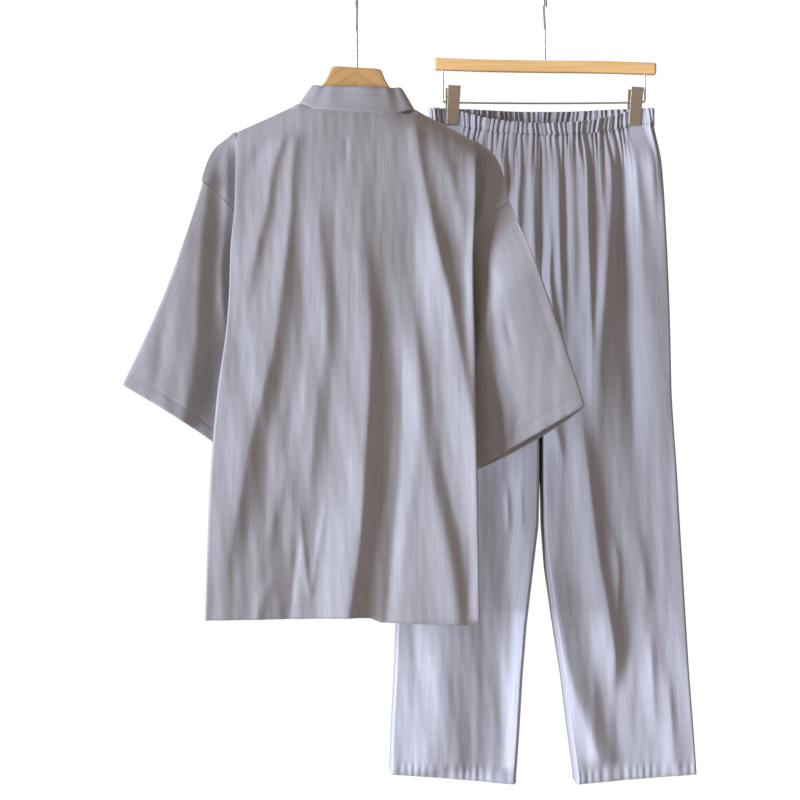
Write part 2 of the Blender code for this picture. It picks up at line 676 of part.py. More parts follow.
def clip(name, x, top, foot):
    """A clip bent from one strip: a long front plate, a block on the wire, and a shorter rear jaw."""
    inner = PINCH + WALL / 2 + 0.35
    outer = inner + 1.6
    notch = WIRE + 0.4
    block = (FRAME_Z - 5.8, FRAME_Z + 5.2)
    outline = [(-outer, foot), (-outer, top - 4), (-outer - 1.4, top), (-inner - 1.4, top), (-inner, top - 4)]
    outline += [(-inner, block[1]), (inner, block[1]), (inner, top - 5), (outer, top - 5), (outer, foot + 3)]
    outline += [(inner, foot + 3), (inner, block[0]), (notch, block[0])]
    outline += [
        (notch * math.cos(turn), FRAME_Z + notch * math.sin(turn)) for turn in np.linspace(0, math.pi, 9)
    ]
    outline += [(-notch, block[0]), (-inner, block[0]), (-inner, foot)]
    data = bpy.data.curves.new(name, "CURVE")
    data.dimensions = "2D"
    data.fill_mode = "BOTH"
    data.extrude = CLIP_WIDTH / 2 * MM
    line = data.splines.new("POLY")
    line.points.add(len(outline) - 1)
    line.use_cyclic_u = True
    for point, (across, up) in zip(line.points, outline):
        point.co = (across * MM, up * MM, 0, 1)
    piece = add_object(name, data, (CLIP_METAL, 0.35, 1.0))
    piece.rotation_euler = (math.pi / 2, 0, math.pi / 2)
    piece.location = (x * MM, TROUSERS_Y * MM, 0)


def bar():
    """The trousers hanger's bar: a rounded stick that tips down a little to the right."""
    low, high = BAR["x"]
    left, right = BAR["top"]
    bpy.ops.mesh.primitive_cube_add(size=1)
    piece = bpy.context.active_object
    piece.name = piece.data.name = "trousers_hanger_bar"
    for collection in list(piece.users_collection):
        collection.objects.unlink(piece)
    bpy.data.collections["kimono_pyjama_set"].objects.link(piece)
    size = ((high - low) * MM, BAR["depth"] * MM, BAR["height"] * MM)
    for corner in piece.data.vertices:
        corner.co = [corner.co[i] * size[i] for i in range(3)]
    piece.location = (
        (low + high) / 2 * MM,
        TROUSERS_Y * MM,
        ((left + right) / 2 - BAR["height"] / 2) * MM,
    )
    piece.rotation_euler = (0, math.atan2(left - right, high - low), 0)
    piece.data.materials.append(new_material(piece.name, WOOD, 0.4))
    edge = piece.modifiers.new("round edges", "BEVEL")
    edge.width = 4 * MM
    edge.segments = 3


def build():
    for old in list(bpy.data.objects):
        bpy.data.objects.remove(old)
    parts = bpy.data.collections.new("kimono_pyjama_set")
    bpy.context.scene.collection.children.link(parts)
    hanger_arm("jacket_hanger_arm_left", LEFT_ARM)
    hanger_arm("jacket_hanger_arm_right", RIGHT_ARM)
    hook("jacket_hanger_hook", -109.6, (0, 0, 0))
    jacket_back()
    jacket_fronts()
    sleeve("sleeve_left", LEFT_SIDE, LEFT_SLEEVE, -1)
    sleeve("sleeve_right", RIGHT_SIDE, RIGHT_SLEEVE, 1)
    collar_band()
    ties()
    bar()
    hook("trousers_hanger_hook", -81, TROUSERS_HOOK)
    clip_frame()
    clip("clip_left", CLIP_X[0], CLIP_TOP[0], CLIP_FOOT[0])
    clip("clip_right", CLIP_X[1], CLIP_TOP[1], CLIP_FOOT[1])
    waistband()
    leg_panels()


build()
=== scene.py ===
import json
import math

import bpy
import numpy as np
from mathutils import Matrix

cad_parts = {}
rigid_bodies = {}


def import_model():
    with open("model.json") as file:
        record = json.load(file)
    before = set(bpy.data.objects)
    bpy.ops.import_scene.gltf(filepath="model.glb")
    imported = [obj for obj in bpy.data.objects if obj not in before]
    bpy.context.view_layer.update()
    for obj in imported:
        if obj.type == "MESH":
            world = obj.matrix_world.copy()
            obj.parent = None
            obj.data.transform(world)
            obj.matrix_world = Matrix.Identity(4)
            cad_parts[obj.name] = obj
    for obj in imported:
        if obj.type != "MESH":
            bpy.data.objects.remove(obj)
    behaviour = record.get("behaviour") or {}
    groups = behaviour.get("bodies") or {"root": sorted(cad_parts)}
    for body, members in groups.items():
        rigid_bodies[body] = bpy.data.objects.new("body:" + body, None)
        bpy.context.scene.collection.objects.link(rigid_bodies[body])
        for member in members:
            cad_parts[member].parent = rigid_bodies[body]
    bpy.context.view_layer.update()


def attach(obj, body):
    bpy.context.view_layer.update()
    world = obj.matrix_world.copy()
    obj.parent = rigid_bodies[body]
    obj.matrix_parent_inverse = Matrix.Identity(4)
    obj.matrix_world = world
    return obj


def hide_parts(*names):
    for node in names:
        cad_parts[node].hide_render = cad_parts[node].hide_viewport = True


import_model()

# The room: a level camera straight behind the jacket, a broad soft light on its left, weaker ones on the
# right and above, a white surround that the camera sees brighter than the cloth does, and a pale floor.
MM = 0.001
EYE = (0.0602, -2.6, -0.5768)
LENS = 83.57
FLOOR_Z = -1.32
FLOOR_X = (-2.4, 2.6)
FLOOR_Y = (-2.4, 0.62)
LIGHT_COLUMNS = ("name", "place", "target", "size", "power", "colour")
LIGHTS = (
    ("window light", (-5.4, -2.44, -0.3), (0.08, 0.0, -0.62), 2.0, 590, (0.67, 0.79, 1.0)),
    ("second window light", (-4.75, -3.17, -0.3), (0.28, 0.1, -0.64), 2.0, 440, (0.67, 0.79, 1.0)),
    ("fill light", (2.2, -2.6, -0.2), (0.08, 0.0, -0.6), 2.2, 4, (1.0, 0.90, 0.82)),
    ("ceiling light", (0.1, -0.5, 1.7), (0.08, 0.0, -0.4), 2.0, 5, (0.94, 0.95, 1.0)),
    ("back light", (0.9, 2.8, 0.6), (0.08, 0.1, -0.6), 2.0, 45, (1.0, 0.98, 0.96)),
)
SURROUND_SEEN = (1.05, 1.05, 1.05)
SURROUND_LIT = (0.268, 0.214, 0.178)
FLOOR_COLOUR = (0.80, 0.79, 0.77)
FLOOR_MOTTLE = (0.76, 0.75, 0.73)

scene = bpy.context.scene
scene.view_settings.view_transform = "Standard"


def add_node(tree, kind, inputs=None, **settings):
    """A shader node with its settings, and its inputs set to values or joined to other nodes' outputs."""
    made = tree.nodes.new(kind)
    for name, value in settings.items():
        setattr(made, name, value)
    for key, value in (inputs or {}).items():
        if isinstance(value, bpy.types.NodeSocket):
            tree.links.new(value, made.inputs[key])
        else:
            made.inputs[key].default_value = value
    return made


def new_material(name, **values):
    """A material with plain values on its shader's sockets; returns it with its tree and shader."""
    material = bpy.data.materials.new(name)
    material.use_nodes = True
    shader = material.node_tree.nodes["Principled BSDF"]
    for socket, value in values.items():
        shader.inputs[socket.replace("_", " ")].default_value = value
    return material, material.node_tree, shader


def scaled(tree, vector, scale):
    """A vector with each of its parts multiplied by its own scale."""
    return add_node(tree, "ShaderNodeVectorMath", {0: vector, 1: scale}, operation="MULTIPLY").outputs[0]


def noise(tree, vector, scale, detail, roughness=0.5, distortion=0.0):
    """Cloudy noise, from 0 to 1, at a vector."""
    grain = {"Scale": scale, "Detail": detail, "Roughness": roughness, "Distortion": distortion}
    return add_node(tree, "ShaderNodeTexNoise", {"Vector": vector, **grain}).outputs["Fac"]


def mixed_colour(tree, share, first, second):
    """The first colour at share 0 and the second at share 1."""
    return add_node(tree, "ShaderNodeMixRGB", {"Fac": share, "Color1": first, "Color2": second}).outputs[0]


def spread(tree, value, to_low, to_high, low=0.0, high=1.0):
    """A value that runs from low to high, made to run from to_low to to_high."""
    ends = {"From Min": low, "From Max": high, "To Min": to_low, "To Max": to_high}
    return add_node(tree, "ShaderNodeMapRange", {"Value": value, **ends}).outputs[0]


def dress(tree, shader, colour, roughness, height, strength, distance):
    """Joins a colour, a roughness and the relief of a height to a material's shader."""
    relief = add_node(tree, "ShaderNodeBump", {"Height": height, "Strength": strength, "Distance": distance})
    tree.links.new(colour, shader.inputs["Base Color"])
    tree.links.new(roughness, shader.inputs["Roughness"])
    tree.links.new(relief.outputs["Normal"], shader.inputs["Normal"])


camera = bpy.data.objects.new("camera", bpy.data.cameras.new("camera"))
camera.location = EYE
camera.rotation_euler = (math.pi / 2, 0, 0)
camera.data.lens = LENS
scene.collection.objects.link(camera)
scene.camera = camera

for name, place, target, size, power, colour in LIGHTS:
    lamp = bpy.data.objects.new(name, bpy.data.lights.new(name, "AREA"))
    lamp.data.size = size
    lamp.data.energy = power
    lamp.data.color = colour
    lamp.location = place
    aim = np.array(place) - np.array(target)
    lamp.rotation_euler = (math.atan2(math.hypot(aim[0], aim[1]), aim[2]), 0, math.atan2(aim[0], -aim[1]))
    scene.collection.objects.link(lamp)

scene.world = bpy.data.worlds.new("surround")
scene.world.use_nodes = True
sky = scene.world.node_tree
seen = add_node(sky, "ShaderNodeLightPath").outputs["Is Camera Ray"]
surround = mixed_colour(sky, seen, (*SURROUND_LIT, 1), (*SURROUND_SEEN, 1))
sky.links.new(surround, sky.nodes["Background"].inputs["Color"])

floor_mesh = bpy.data.meshes.new("floor")
floor_corners = [(x, y, FLOOR_Z) for y in FLOOR_Y for x in FLOOR_X]
floor_mesh.from_pydata(floor_corners, [], [(0, 1, 3, 2)])
floor = bpy.data.objects.new("floor", floor_mesh)
scene.collection.objects.link(floor)
floor_material, floor_tree, floor_shader = new_material("pale floor", Roughness=0.7)
floor_place = add_node(floor_tree, "ShaderNodeTexCoord").outputs["Object"]
mottle = noise(floor_tree, floor_place, 6.0, 3.0)
floor_tone = mixed_colour(floor_tree, mottle, (*FLOOR_COLOUR, 1), (*FLOOR_MOTTLE, 1))
floor_tree.links.new(floor_tone, floor_shader.inputs["Base Color"])
floor_mesh.materials.append(floor_material)


# The jacket hanger's two arms: beech, mitred at the middle and glued, rounded along their edges and
# lacquered clear. The left one's top and bottom edges are given outward from the mitre, as x, z.
LEFT_ARM_TOP = (
    (-0.03, -111.8), (-18, -110.6), (-29.5, -110.1), (-34.8, -111.7), (-37, -115), (-39.5, -121.5),
    (-43.1, -129), (-49, -137.5), (-62, -156), (-80, -169), (-120, -187.5), (-150, -201.5), (-166, -209.5),
    (-173, -215),
)
LEFT_ARM_BOTTOM = (
    (-0.03, -150), (-14, -151.5), (-24, -153.5), (-30, -155.5), (-34, -157), (-38, -159),
    (-43, -161.5), (-50, -166), (-64, -176), (-80, -188), (-120, -209), (-150, -222), (-166, -229),
    (-173, -228),
)
RIGHT_ARM_TOP = (
    (0.03, -111.8), (17, -112.8), (28.5, -113.6), (33.3, -115.3), (35.2, -118.5), (37.4, -124),
    (41, -131.4), (46.5, -140), (60, -161), (80, -178), (120, -198), (150, -213.5), (171, -225.5),
    (179, -232),
)
RIGHT_ARM_BOTTOM = (
    (0.03, -150), (14, -152), (24, -155), (30, -158.5), (34, -161), (38, -163.5),
    (43, -167), (49, -172), (62, -181), (80, -196), (120, -220), (150, -236), (172, -247),
    (179, -244),
)
ARM_HALF_DEPTH = 6
ARM_SQUARENESS = 0.34
GRAIN_TURN = {"left": math.radians(33), "right": math.radians(-35)}
# How many of the tables' last stretches the arms stop short of, hidden inside the shoulders.
ARM_SHORTER = 1.0
WOOD_LIGHT = (0.82, 0.49, 0.195)
WOOD_DARK = (0.63, 0.345, 0.118)
RING_STRETCH = (7.0, 120.0, 120.0)
PORE_STRETCH = (90.0, 1300.0, 1300.0)


def smooth(at, knots, values):
    """A curve through the values at rising knots, along their last axis: in each stretch the cubic
    (2t3 - 3t2 + 1) a + (t3 - 2t2 + t) h s + (3t2 - 2t3) b + (t3 - t2) h r, where a and b are the ends'
    values, s and r their slopes, h the stretch's length and t the share of it that is passed."""
    knots = np.asarray(knots, float)
    values = np.asarray(values, float)
    slopes = np.gradient(values, knots, axis=-1)
    at = np.clip(at, knots[0], knots[-1])
    i = np.clip(np.searchsorted(knots, at) - 1, 0, len(knots) - 2)
    h = knots[i + 1] - knots[i]
    t = (at - knots[i]) / h
    start = (2 * t**3 - 3 * t**2 + 1) * values[..., i] + (t**3 - 2 * t**2 + t) * h * slopes[..., i]
    end = (3 * t**2 - 2 * t**3) * values[..., i + 1] + (t**3 - t**2) * h * slopes[..., i + 1]
    return start + end


def ease(t):
    """0 at 0 and 1 at 1, flat at both ends: 3t2 - 2t3."""
    t = np.clip(t, 0, 1)
    return t * t * (3 - 2 * t)


def length_along(line):
    """The distance along a line of points from its start to each of them."""
    steps = np.linalg.norm(np.diff(line, axis=0), axis=1)
    return np.concatenate([[0], np.cumsum(steps)])


def grid_faces(rows, columns, around):
    """The corners of the quads between neighbours of a grid; around joins the last column to the first."""
    index = np.arange(rows * columns).reshape(rows, columns)
    if around:
        index = np.concatenate([index, index[:, :1]], axis=1)
    corners = [index[:-1, :-1], index[:-1, 1:], index[1:, 1:], index[1:, :-1]]
    return np.stack(corners, axis=-1).reshape(-1, 4)


def add_piece(name, mesh, material):
    mesh.materials.append(material)
    piece = bpy.data.objects.new(name, mesh)
    scene.collection.objects.link(piece)
    return piece


def place_piece(piece, node=None):
    """Puts a piece on the part's one body and in the place of its solid, if any."""
    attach(piece, "root")
    if node:
        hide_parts(node)


def closed_faces(rings):
    """The faces of a closed solid through rings of points, one at each end too, and whether they had to be
    turned: they point inwards where the sum of the corners' triple products is below 0."""
    count, around = rings.shape[:2]
    points = rings.reshape(-1, 3)
    quads = grid_faces(count, around, True)
    a, b, c, d = (points[quads[:, i]] for i in range(4))
    turned = (np.cross(a, b) * c).sum() + (np.cross(a, c) * d).sum() < 0
    ends = [list(range(around))[::-1], list(range((count - 1) * around, count * around))]
    faces = quads.tolist() + ends
    return [face[::-1] for face in faces] if turned else faces, turned


def solid(name, rings, material, smooth_angle=50):
    """A closed solid through rings of points in millimetres, with a flat face at each end."""
    points = rings.reshape(-1, 3) * MM
    faces, _ = closed_faces(rings)
    mesh = bpy.data.meshes.new(name)
    mesh.from_pydata(points, [], faces)
    mesh.validate()
    mesh.shade_smooth()
    mesh.set_sharp_from_angle(angle=math.radians(smooth_angle))
    return add_piece(name, mesh, material)


def rounded_section(low, high, half_depth, squareness, count=28):
    """A rounded bar's outline between two points: powers of the angle's sine and cosine, so that the
    sides are nearly flat and the corners round."""
    angle = np.linspace(0, 2 * math.pi, count, endpoint=False)
    up = np.sign(np.sin(angle)) * np.abs(np.sin(angle)) ** squareness
    across = np.sign(np.cos(angle)) * np.abs(np.cos(angle)) ** squareness
    middle = (low + high) / 2
    points = middle + up[:, None] * (high - low) / 2
    points[:, 1] += half_depth * across
    return points


def arm_rings(top, bottom):
    """Sections between the top edge and the bottom edge, evenly spaced, the last few closing in the tip."""
    knots = np.arange(len(top))
    fine = np.linspace(0, len(top) - 1 - ARM_SHORTER, 120)
    edges = []
    for line in (top, bottom):
        x, z = (smooth(fine, knots, [point[i] for point in line]) for i in (0, 1))
        edges.append(np.stack([x, 0 * x, z], axis=-1))
    rings = []
    for i, share in enumerate(np.linspace(0, 1, 120)):
        tip = math.sqrt(max(1 - max((share - 0.965) / 0.035, 0) ** 2, 0.02))
        middle = (edges[0][i] + edges[1][i]) / 2
        high = middle + (edges[0][i] - middle) * tip
        low = middle + (edges[1][i] - middle) * tip
        thin = 1 - 0.55 * float(np.clip((share - 0.72) / 0.24, 0, 1)) ** 1.5
        rings.append(rounded_section(low, high, ARM_HALF_DEPTH * thin * tip, ARM_SQUARENESS))
    return np.stack(rings)


def new_group(name, inputs, outputs):
    """An empty shader group; returns it with the nodes of its inputs and outputs."""
    group = bpy.data.node_groups.new(name, "ShaderNodeTree")
    for socket, kind in inputs:
        group.interface.new_socket(name=socket, in_out="INPUT", socket_type="NodeSocket" + kind)
    for socket, kind in outputs:
        group.interface.new_socket(name=socket, in_out="OUTPUT", socket_type="NodeSocket" + kind)
    return group, group.nodes.new("NodeGroupInput"), group.nodes.new("NodeGroupOutput")


def wood_grain_group():
    """Growth rings drawn out along x, and short dark flecks of pores; the lacquer is duller over them."""
    group, given, out = new_group(
        "wood grain",
        [("Place", "Vector"), ("Light", "Color"), ("Dark", "Color")],
        [("Colour", "Color"), ("Roughness", "Float"), ("Height", "Float")],
    )
    rings = noise(group, scaled(group, given.outputs["Place"], RING_STRETCH), 1.0, 5.0, 0.6, 0.5)
    pores = noise(group, scaled(group, given.outputs["Place"], PORE_STRETCH), 1.0, 2.0)
    share = spread(group, rings, 0.0, 1.0, 0.32, 0.68)
    fleck = spread(group, pores, 0.0, 0.3, 0.58, 0.7)
    tone = mixed_colour(group, share, given.outputs["Dark"], given.outputs["Light"])
    toned = mixed_colour(group, fleck, tone, given.outputs["Dark"])
    dull = spread(group, pores, 0.34, 0.48)
    group.links.new(toned, out.inputs["Colour"])
    group.links.new(dull, out.inputs["Roughness"])
    group.links.new(pores, out.inputs["Height"])
    return group


WOOD_GRAIN = wood_grain_group()


def wood_material(name, turn):
    """Lacquered beech whose grain runs along x once it is turned about y."""
    material, tree, shader = new_material(name, Coat_Weight=0.3, Coat_Roughness=0.22)
    place = add_node(tree, "ShaderNodeTexCoord").outputs["Object"]
    turned = add_node(tree, "ShaderNodeMapping", {"Vector": place, "Rotation": (0, turn, 0)})
    grain = add_node(tree, "ShaderNodeGroup", node_tree=WOOD_GRAIN)
    tree.links.new(turned.outputs["Vector"], grain.inputs["Place"])
    grain.inputs["Light"].default_value = (*WOOD_LIGHT, 1)
    grain.inputs["Dark"].default_value = (*WOOD_DARK, 1)
    made = grain.outputs
    dress(tree, shader, made["Colour"], made["Roughness"], made["Height"], 0.25, 0.0002)
    return material


for side, top, bottom in (
    ("left", LEFT_ARM_TOP, LEFT_ARM_BOTTOM),
    ("right", RIGHT_ARM_TOP, RIGHT_ARM_BOTTOM),
):
    beech = wood_material(f"beech {side} arm", GRAIN_TURN[side])
    arm = solid(f"shoulder_hanger_arm_{side}", arm_rings(top, bottom), beech)
    place_piece(arm, f"jacket_hanger_arm_{side}")


# The shoulder hanger's hook: one length of nickel-plated 3 mm steel wire, straight out of the mitre and
# bent round to the front of the rail and over it. Its inner top is where the rail touches.
WIRE_RADIUS = 1.5
HOOK_INNER = 19.5
HOOK_NECK = 42
HOOK_TIP = ((0.2, 3), (0.8, 7), (2.2, 12))
JACKET_HOOK_FOOT = -111
NICKEL = (0.70, 0.66, 0.60)


def wire_rings(path, radius, across, sides=16):
    """Rings round a path that lies in one plane: each point plus radius times (cos a across + sin a up),
    where up stands square to the path in that plane. The ends shrink to a dome."""
    path = np.asarray(path, float)
    along = np.gradient(path, axis=0)
    along /= np.linalg.norm(along, axis=1)[:, None]
    dome = np.radians([78, 55, 28])
    first = path[0] - along[0] * radius * np.sin(dome)[:, None]
    last = path[-1] + along[-1] * radius * np.sin(dome[::-1])[:, None]
    centres = np.concatenate([first, path, last])
    along = np.concatenate([along[:1].repeat(3, axis=0), along, along[-1:].repeat(3, axis=0)])
    thick = np.concatenate([radius * np.cos(dome), np.full(len(path), radius), radius * np.cos(dome[::-1])])
    across = np.asarray(across, float)
    up = np.cross(along, across)
    angle = np.linspace(0, 2 * math.pi, sides, endpoint=False)[None, :, None]
    turned = np.cos(angle) * across + np.sin(angle) * up[:, None]
    return centres[:, None] + thick[:, None, None] * turned


def hook_path(foot, top):
    """Up from the foot, in a soft curve out to +Y, round a half circle over the rail, and down to the tip."""
    x, y, top_z = top
    radius = HOOK_INNER + WIRE_RADIUS
    centre = top_z - HOOK_INNER
    share = np.linspace(0, 1, 24)
    rise = np.stack([0 * share + x, y + radius * ease(share), centre - HOOK_NECK * (1 - share)], axis=-1)
    turn = np.linspace(0, math.pi, 48)[1:]
    bend = np.stack([0 * turn + x, y + radius * np.cos(turn), centre + radius * np.sin(turn)], axis=-1)
    tip = [(x, y - radius - out, centre - down) for out, down in HOOK_TIP]
    stem = [(x, y, z) for z in np.linspace(foot, centre - HOOK_NECK, 8)[:-1]]
    return np.concatenate([stem, rise, bend, tip])


def metal_material(name, colour, roughness, stretch, relief):
    """Plated metal: its brightness and gloss vary a little in faint draw marks along the stretch."""
    material, tree, shader = new_material(name, Metallic=1.0)
    place = add_node(tree, "ShaderNodeTexCoord").outputs["Object"]
    drawn = add_node(tree, "ShaderNodeMapping", {"Vector": place, "Scale": stretch})
    marks = noise(tree, drawn.outputs["Vector"], 1.0, 3.0)
    dark = tuple(part * 0.86 for part in colour)
    tone = mixed_colour(tree, marks, (*dark, 1), (*colour, 1))
    gloss = spread(tree, marks, roughness - 0.06, roughness + 0.08)
    dress(tree, shader, tone, gloss, marks, relief, 0.0001)
    return material


wire_material = metal_material("nickel wire", NICKEL, 0.28, (900, 900, 40), 0.2)
jacket_hook_rings = wire_rings(hook_path(JACKET_HOOK_FOOT, (0, 0, 0)), WIRE_RADIUS, (1, 0, 0))
jacket_hook = solid("shoulder_hanger_hook", jacket_hook_rings, wire_material)
place_piece(jacket_hook, "jacket_hanger_hook")


# The jacket's back: one panel of thin plain-woven cotton and rayon from the neck to the hem. It hangs from
# the arms' ends, so long soft folds fall from the shoulders, and each side turns under in a tuck.
WALL = 0.85
STITCH_OUT = WALL / 2 + 0.05
SHOULDER = (
    (-214, -276), (-206, -238), (-196, -220), (-178, -205), (-167, -202), (-120, -181), (-80, -162.5),
    (-45, -156), (0, -157), (45, -161), (80, -171), (120, -190.5), (165, -215.5), (186, -227),
    (200, -253), (211, -298),
)
NECK_X = (-80, 80)
# One side of the body, a row for each height: the height, the edge of the side's fold, the tuck behind it,
# the panel's edge (shoulder, armhole, side seam), and how far back the back and the front reach there.
SIDE_COLUMNS = ("z", "fold", "tuck", "edge", "back_y", "front_y")
LEFT_SIDE = (
    (-202.4, -168, -169.5, -172, -0.4, 0.4),
    (-213, -167.5, -169, -184, -2.4, -1.6),
    (-226, -166.8, -166, -198.5, -7.6, -6.8),
    (-246, -166.5, -161, -208, -12.8, -12),
    (-276, -166.5, -158, -213.5, -17.4, -16.6),
    (-286, -166.8, -157.5, -201, -19, -9),
    (-306, -167.2, -157, -182, -20, -3),
    (-324, -168.5, -156.5, -170, -20, 0),
    (-368, -172.6, -156, -162.5, -19, 2),
    (-424, -174, -155, -159, -19, -2),
    (-488, -178.5, -154.5, -158.5, -20.4, -19.6),
    (-560, -188, -155, -158.5, -19.4, -18.6),
    (-640, -195, -158, -162, -15.6, -14.8),
    (-720, -200, -170, -175, -11.1, -10.3),
    (-800, -203.5, -182, -188, -7.1, -6.3),
    (-877.7, -205.8, -190, -196, -4.1, -3.3),
)
RIGHT_SIDE = (
    (-216, 165.5, 167, 170, -0.4, 0.4),
    (-226, 165.5, 167, 183.5, -3.4, -2.6),
    (-240, 165.5, 164, 195, -8.4, -7.6),
    (-262, 165, 160, 203.5, -14.4, -13.6),
    (-298, 164, 158, 210.5, -22.4, -21.6),
    (-308, 163.5, 157, 201, -26, -13),
    (-322, 163, 155, 181, -29, -6),
    (-341, 161.8, 152.5, 164, -30, 0),
    (-383, 160, 149, 155.5, -30, 2),
    (-438, 160.5, 147, 152, -28, -2),
    (-495, 162.3, 146, 150, -22.4, -21.6),
    (-565, 162.5, 144, 147, -19.4, -18.6),
    (-645, 164, 144, 147, -15.6, -14.8),
    (-725, 166, 147, 151, -11.1, -10.3),
    (-805, 167, 153, 158, -7.1, -6.3),
    (-884, 168.2, 157, 163, -4.1, -3.3),
)
ARMHOLE_ROWS = (4, 10)
BACK_REACH = (38, 62)
FRONT_REACH = (29, 39)
ROOF = 26
SHOULDER_Y = 0.5
TURN_IN = 1.2
GUIDE_IN = 5
TURN_DEPTH = 4.5
TUCK_DEPTH = 21
SEAM_ROLL = {"left": 0.0, "right": 0.35}
SLEEVE_TUCK = {"left": -1.0, "right": 0.3}
STRIP_AT = (
    1.0, 1.3, 1.6, 1.8, 2.0, 2.2, 2.4, 2.7, 3.0, 3.3, 3.6, *np.linspace(3.8, 5.8, 16),
    5.88, 5.95, 5.98, 6.0,
)
ARM_CLEAR = 7.8
LIFT_Z = (-420, -203.5)
HEM_FROM_Z = -700
BACK_NECK = ((-80, -161), (-60, -161.5), (-40, -164.5), (0, -168), (40, -168.5), (60, -168), (80, -169))
BACK_HEM = ((-206, -877.7), (-76, -876.3), (-8, -873.6), (20, -875), (33, -880.5), (168, -884))
HEM_DEPTH = 16.5
HEM_WALL_GAP = 1.0

# Folds: the points that the fold's crest or valley passes (x, z), its half widths to the left and to the
# right at its middle, how sharp it is (2 is round, 1 is a crease), how far it rises out of the cloth or,
# below 0, sinks in, and the shares of its length over which it fades in and out.
FOLD_COLUMNS = ("points", "left", "right", "power", "rise", "fade_in", "fade_out")
BACK_FOLDS = (
    (((-96, -199), (-112, -246), (-127, -329), (-138, -373), (-154, -474)), 16, 8, 1.7, 4.2, 0.1, 0.4),
    (((-82, -196), (-87, -246), (-91, -329), (-101, -412), (-109, -474)), 11, 8, 1.7, 3.6, 0.1, 0.4),
    (
        ((-93, -308), (-103, -426), (-118, -522), (-132, -577), (-148, -645), (-160, -714), (-185, -848)),
        37, 15, 1.6, 9.0, 0.3, 0.25,
    ),
    (((-89, -611), (-100, -686), (-118, -762), (-129, -837)), 11, 8, 1.7, 1.8, 0.4, 0.4),
    (
        ((-56, -260), (-50, -370), (-43, -467), (-46, -522), (-54, -577), (-67, -714), (-68, -775)),
        21, 12, 1.7, 5.0, 0.2, 0.3,
    ),
    (((-14, -232), (-3, -308), (7, -370), (13, -453)), 36, 47, 1.9, 4.5, 0.4, 0.4),
    (
        ((5, -322), (15, -412), (20, -467), (19, -522), (14, -645), (3, -782), (-11, -887)),
        36, 12, 1.6, 10.5, 0.3, 0.02,
    ),
    (((23, -467), (19, -577), (15, -645), (0, -816), (-8, -887)), 14, 10, 1.7, 3.0, 0.4, 0.02),
    (((-47, -640), (-51, -714), (-59, -796), (-66, -887)), 80, 30, 1.8, -8.5, 0.5, 0.02),
    (((161, -290), (163, -500), (164, -700), (167, -887)), 62, 12, 1.5, 8.5, 0.25, 0.02),
    (
        ((165, -225), (164, -298), (160, -383), (162, -565), (167, -805), (168, -887)),
        6, 6, 1.6, 1.8, 0.03, 0.02,
    ),
    (((75, -290), (77, -340), (79, -412), (86, -536)), 50, 16, 1.8, -6.0, 0.45, 0.4),
    (((62, -453), (62, -577), (59, -645), (53, -714), (48, -782), (40, -887)), 38, 12, 1.6, -7.0, 0.3, 0.02),
    (((101, -577), (112, -645), (127, -714), (142, -782), (150, -891)), 16, 12, 1.7, -3.5, 0.4, 0.02),
    (((151, -529), (156, -577), (162, -645), (164, -714), (166, -796)), 23, 11, 1.7, 7.0, 0.3, 0.4),
    (
        ((73, -363), (79, -467), (85, -522), (97, -645), (111, -714), (126, -782), (144, -891)),
        23, 14, 1.7, 5.5, 0.3, 0.02,
    ),
    (((93, -618), (110, -714), (125, -782), (142, -891)), 66, 27, 1.7, 6.0, 0.6, 0.02),
    (((81, -185), (88, -246), (96, -287), (112, -370), (137, -481)), 12, 7, 1.6, 4.2, 0.08, 0.4),
    (((93, -274), (104, -329), (125, -419), (145, -529), (162, -652)), 21, 11, 1.6, 8.5, 0.35, 0.35),
    (((111, -211), (129, -267), (144, -322), (154, -370)), 12, 10, 1.8, 2.6, 0.3, 0.4),
    (((-116, -207), (-133, -232), (-144, -257), (-152, -287)), 11, 11, 2.0, -1.6, 0.3, 0.4),
    (((165, -226), (164, -298), (161, -400), (163, -565), (168, -884)), 10, 8, 1.6, 3.2, 0.08, 0.02),
    (((-14, -206), (-14, -228), (-13, -254)), 2.6, 2.6, 1.6, -1.2, 0.35, 0.5),
    (((-76, -740), (-83, -800), (-92, -885)), 9, 6, 1.6, -3.0, 0.4, 0.02),
    (((-80, -700), (-72, -780), (-63, -852)), 5, 4, 1.5, 2.0, 0.4, 0.15),
    (((-38, -700), (-52, -780), (-63, -852)), 4, 5, 1.5, 1.6, 0.4, 0.15),
    (((-110, -800), (-124, -840), (-140, -885)), 10, 10, 1.8, 2.0, 0.5, 0.02),
)
# Folds that pass from the shoulder's strip over the armhole seam into the sleeve.
HEAD_FOLDS = {
    "left": (
        (
            (
                (-200, -232), (-208, -278), (-213, -330), (-221, -440), (-222, -495), (-229, -550),
                (-262, -660),
            ),
            100, 18, 1.8, 13.0, 0.1, 0.02,
        ),
        (
            ((-180, -219), (-180, -261), (-181, -327), (-186, -390), (-184, -466), (-181, -520)),
            8, 9, 1.6, 5.0, 0.15, 0.3,
        ),
    ),
    "right": (
        (((184, -236), (183, -262), (176, -306), (172, -340)), 5, 6, 1.6, 4.0, 0.3, 0.4),
        (((204, -262), (212, -300), (226, -370), (262, -520), (286, -640)), 46, 30, 1.8, 1.5, 0.2, 0.05),
    ),
}
CLOTH_COLOUR = (0.412, 0.380, 0.381)


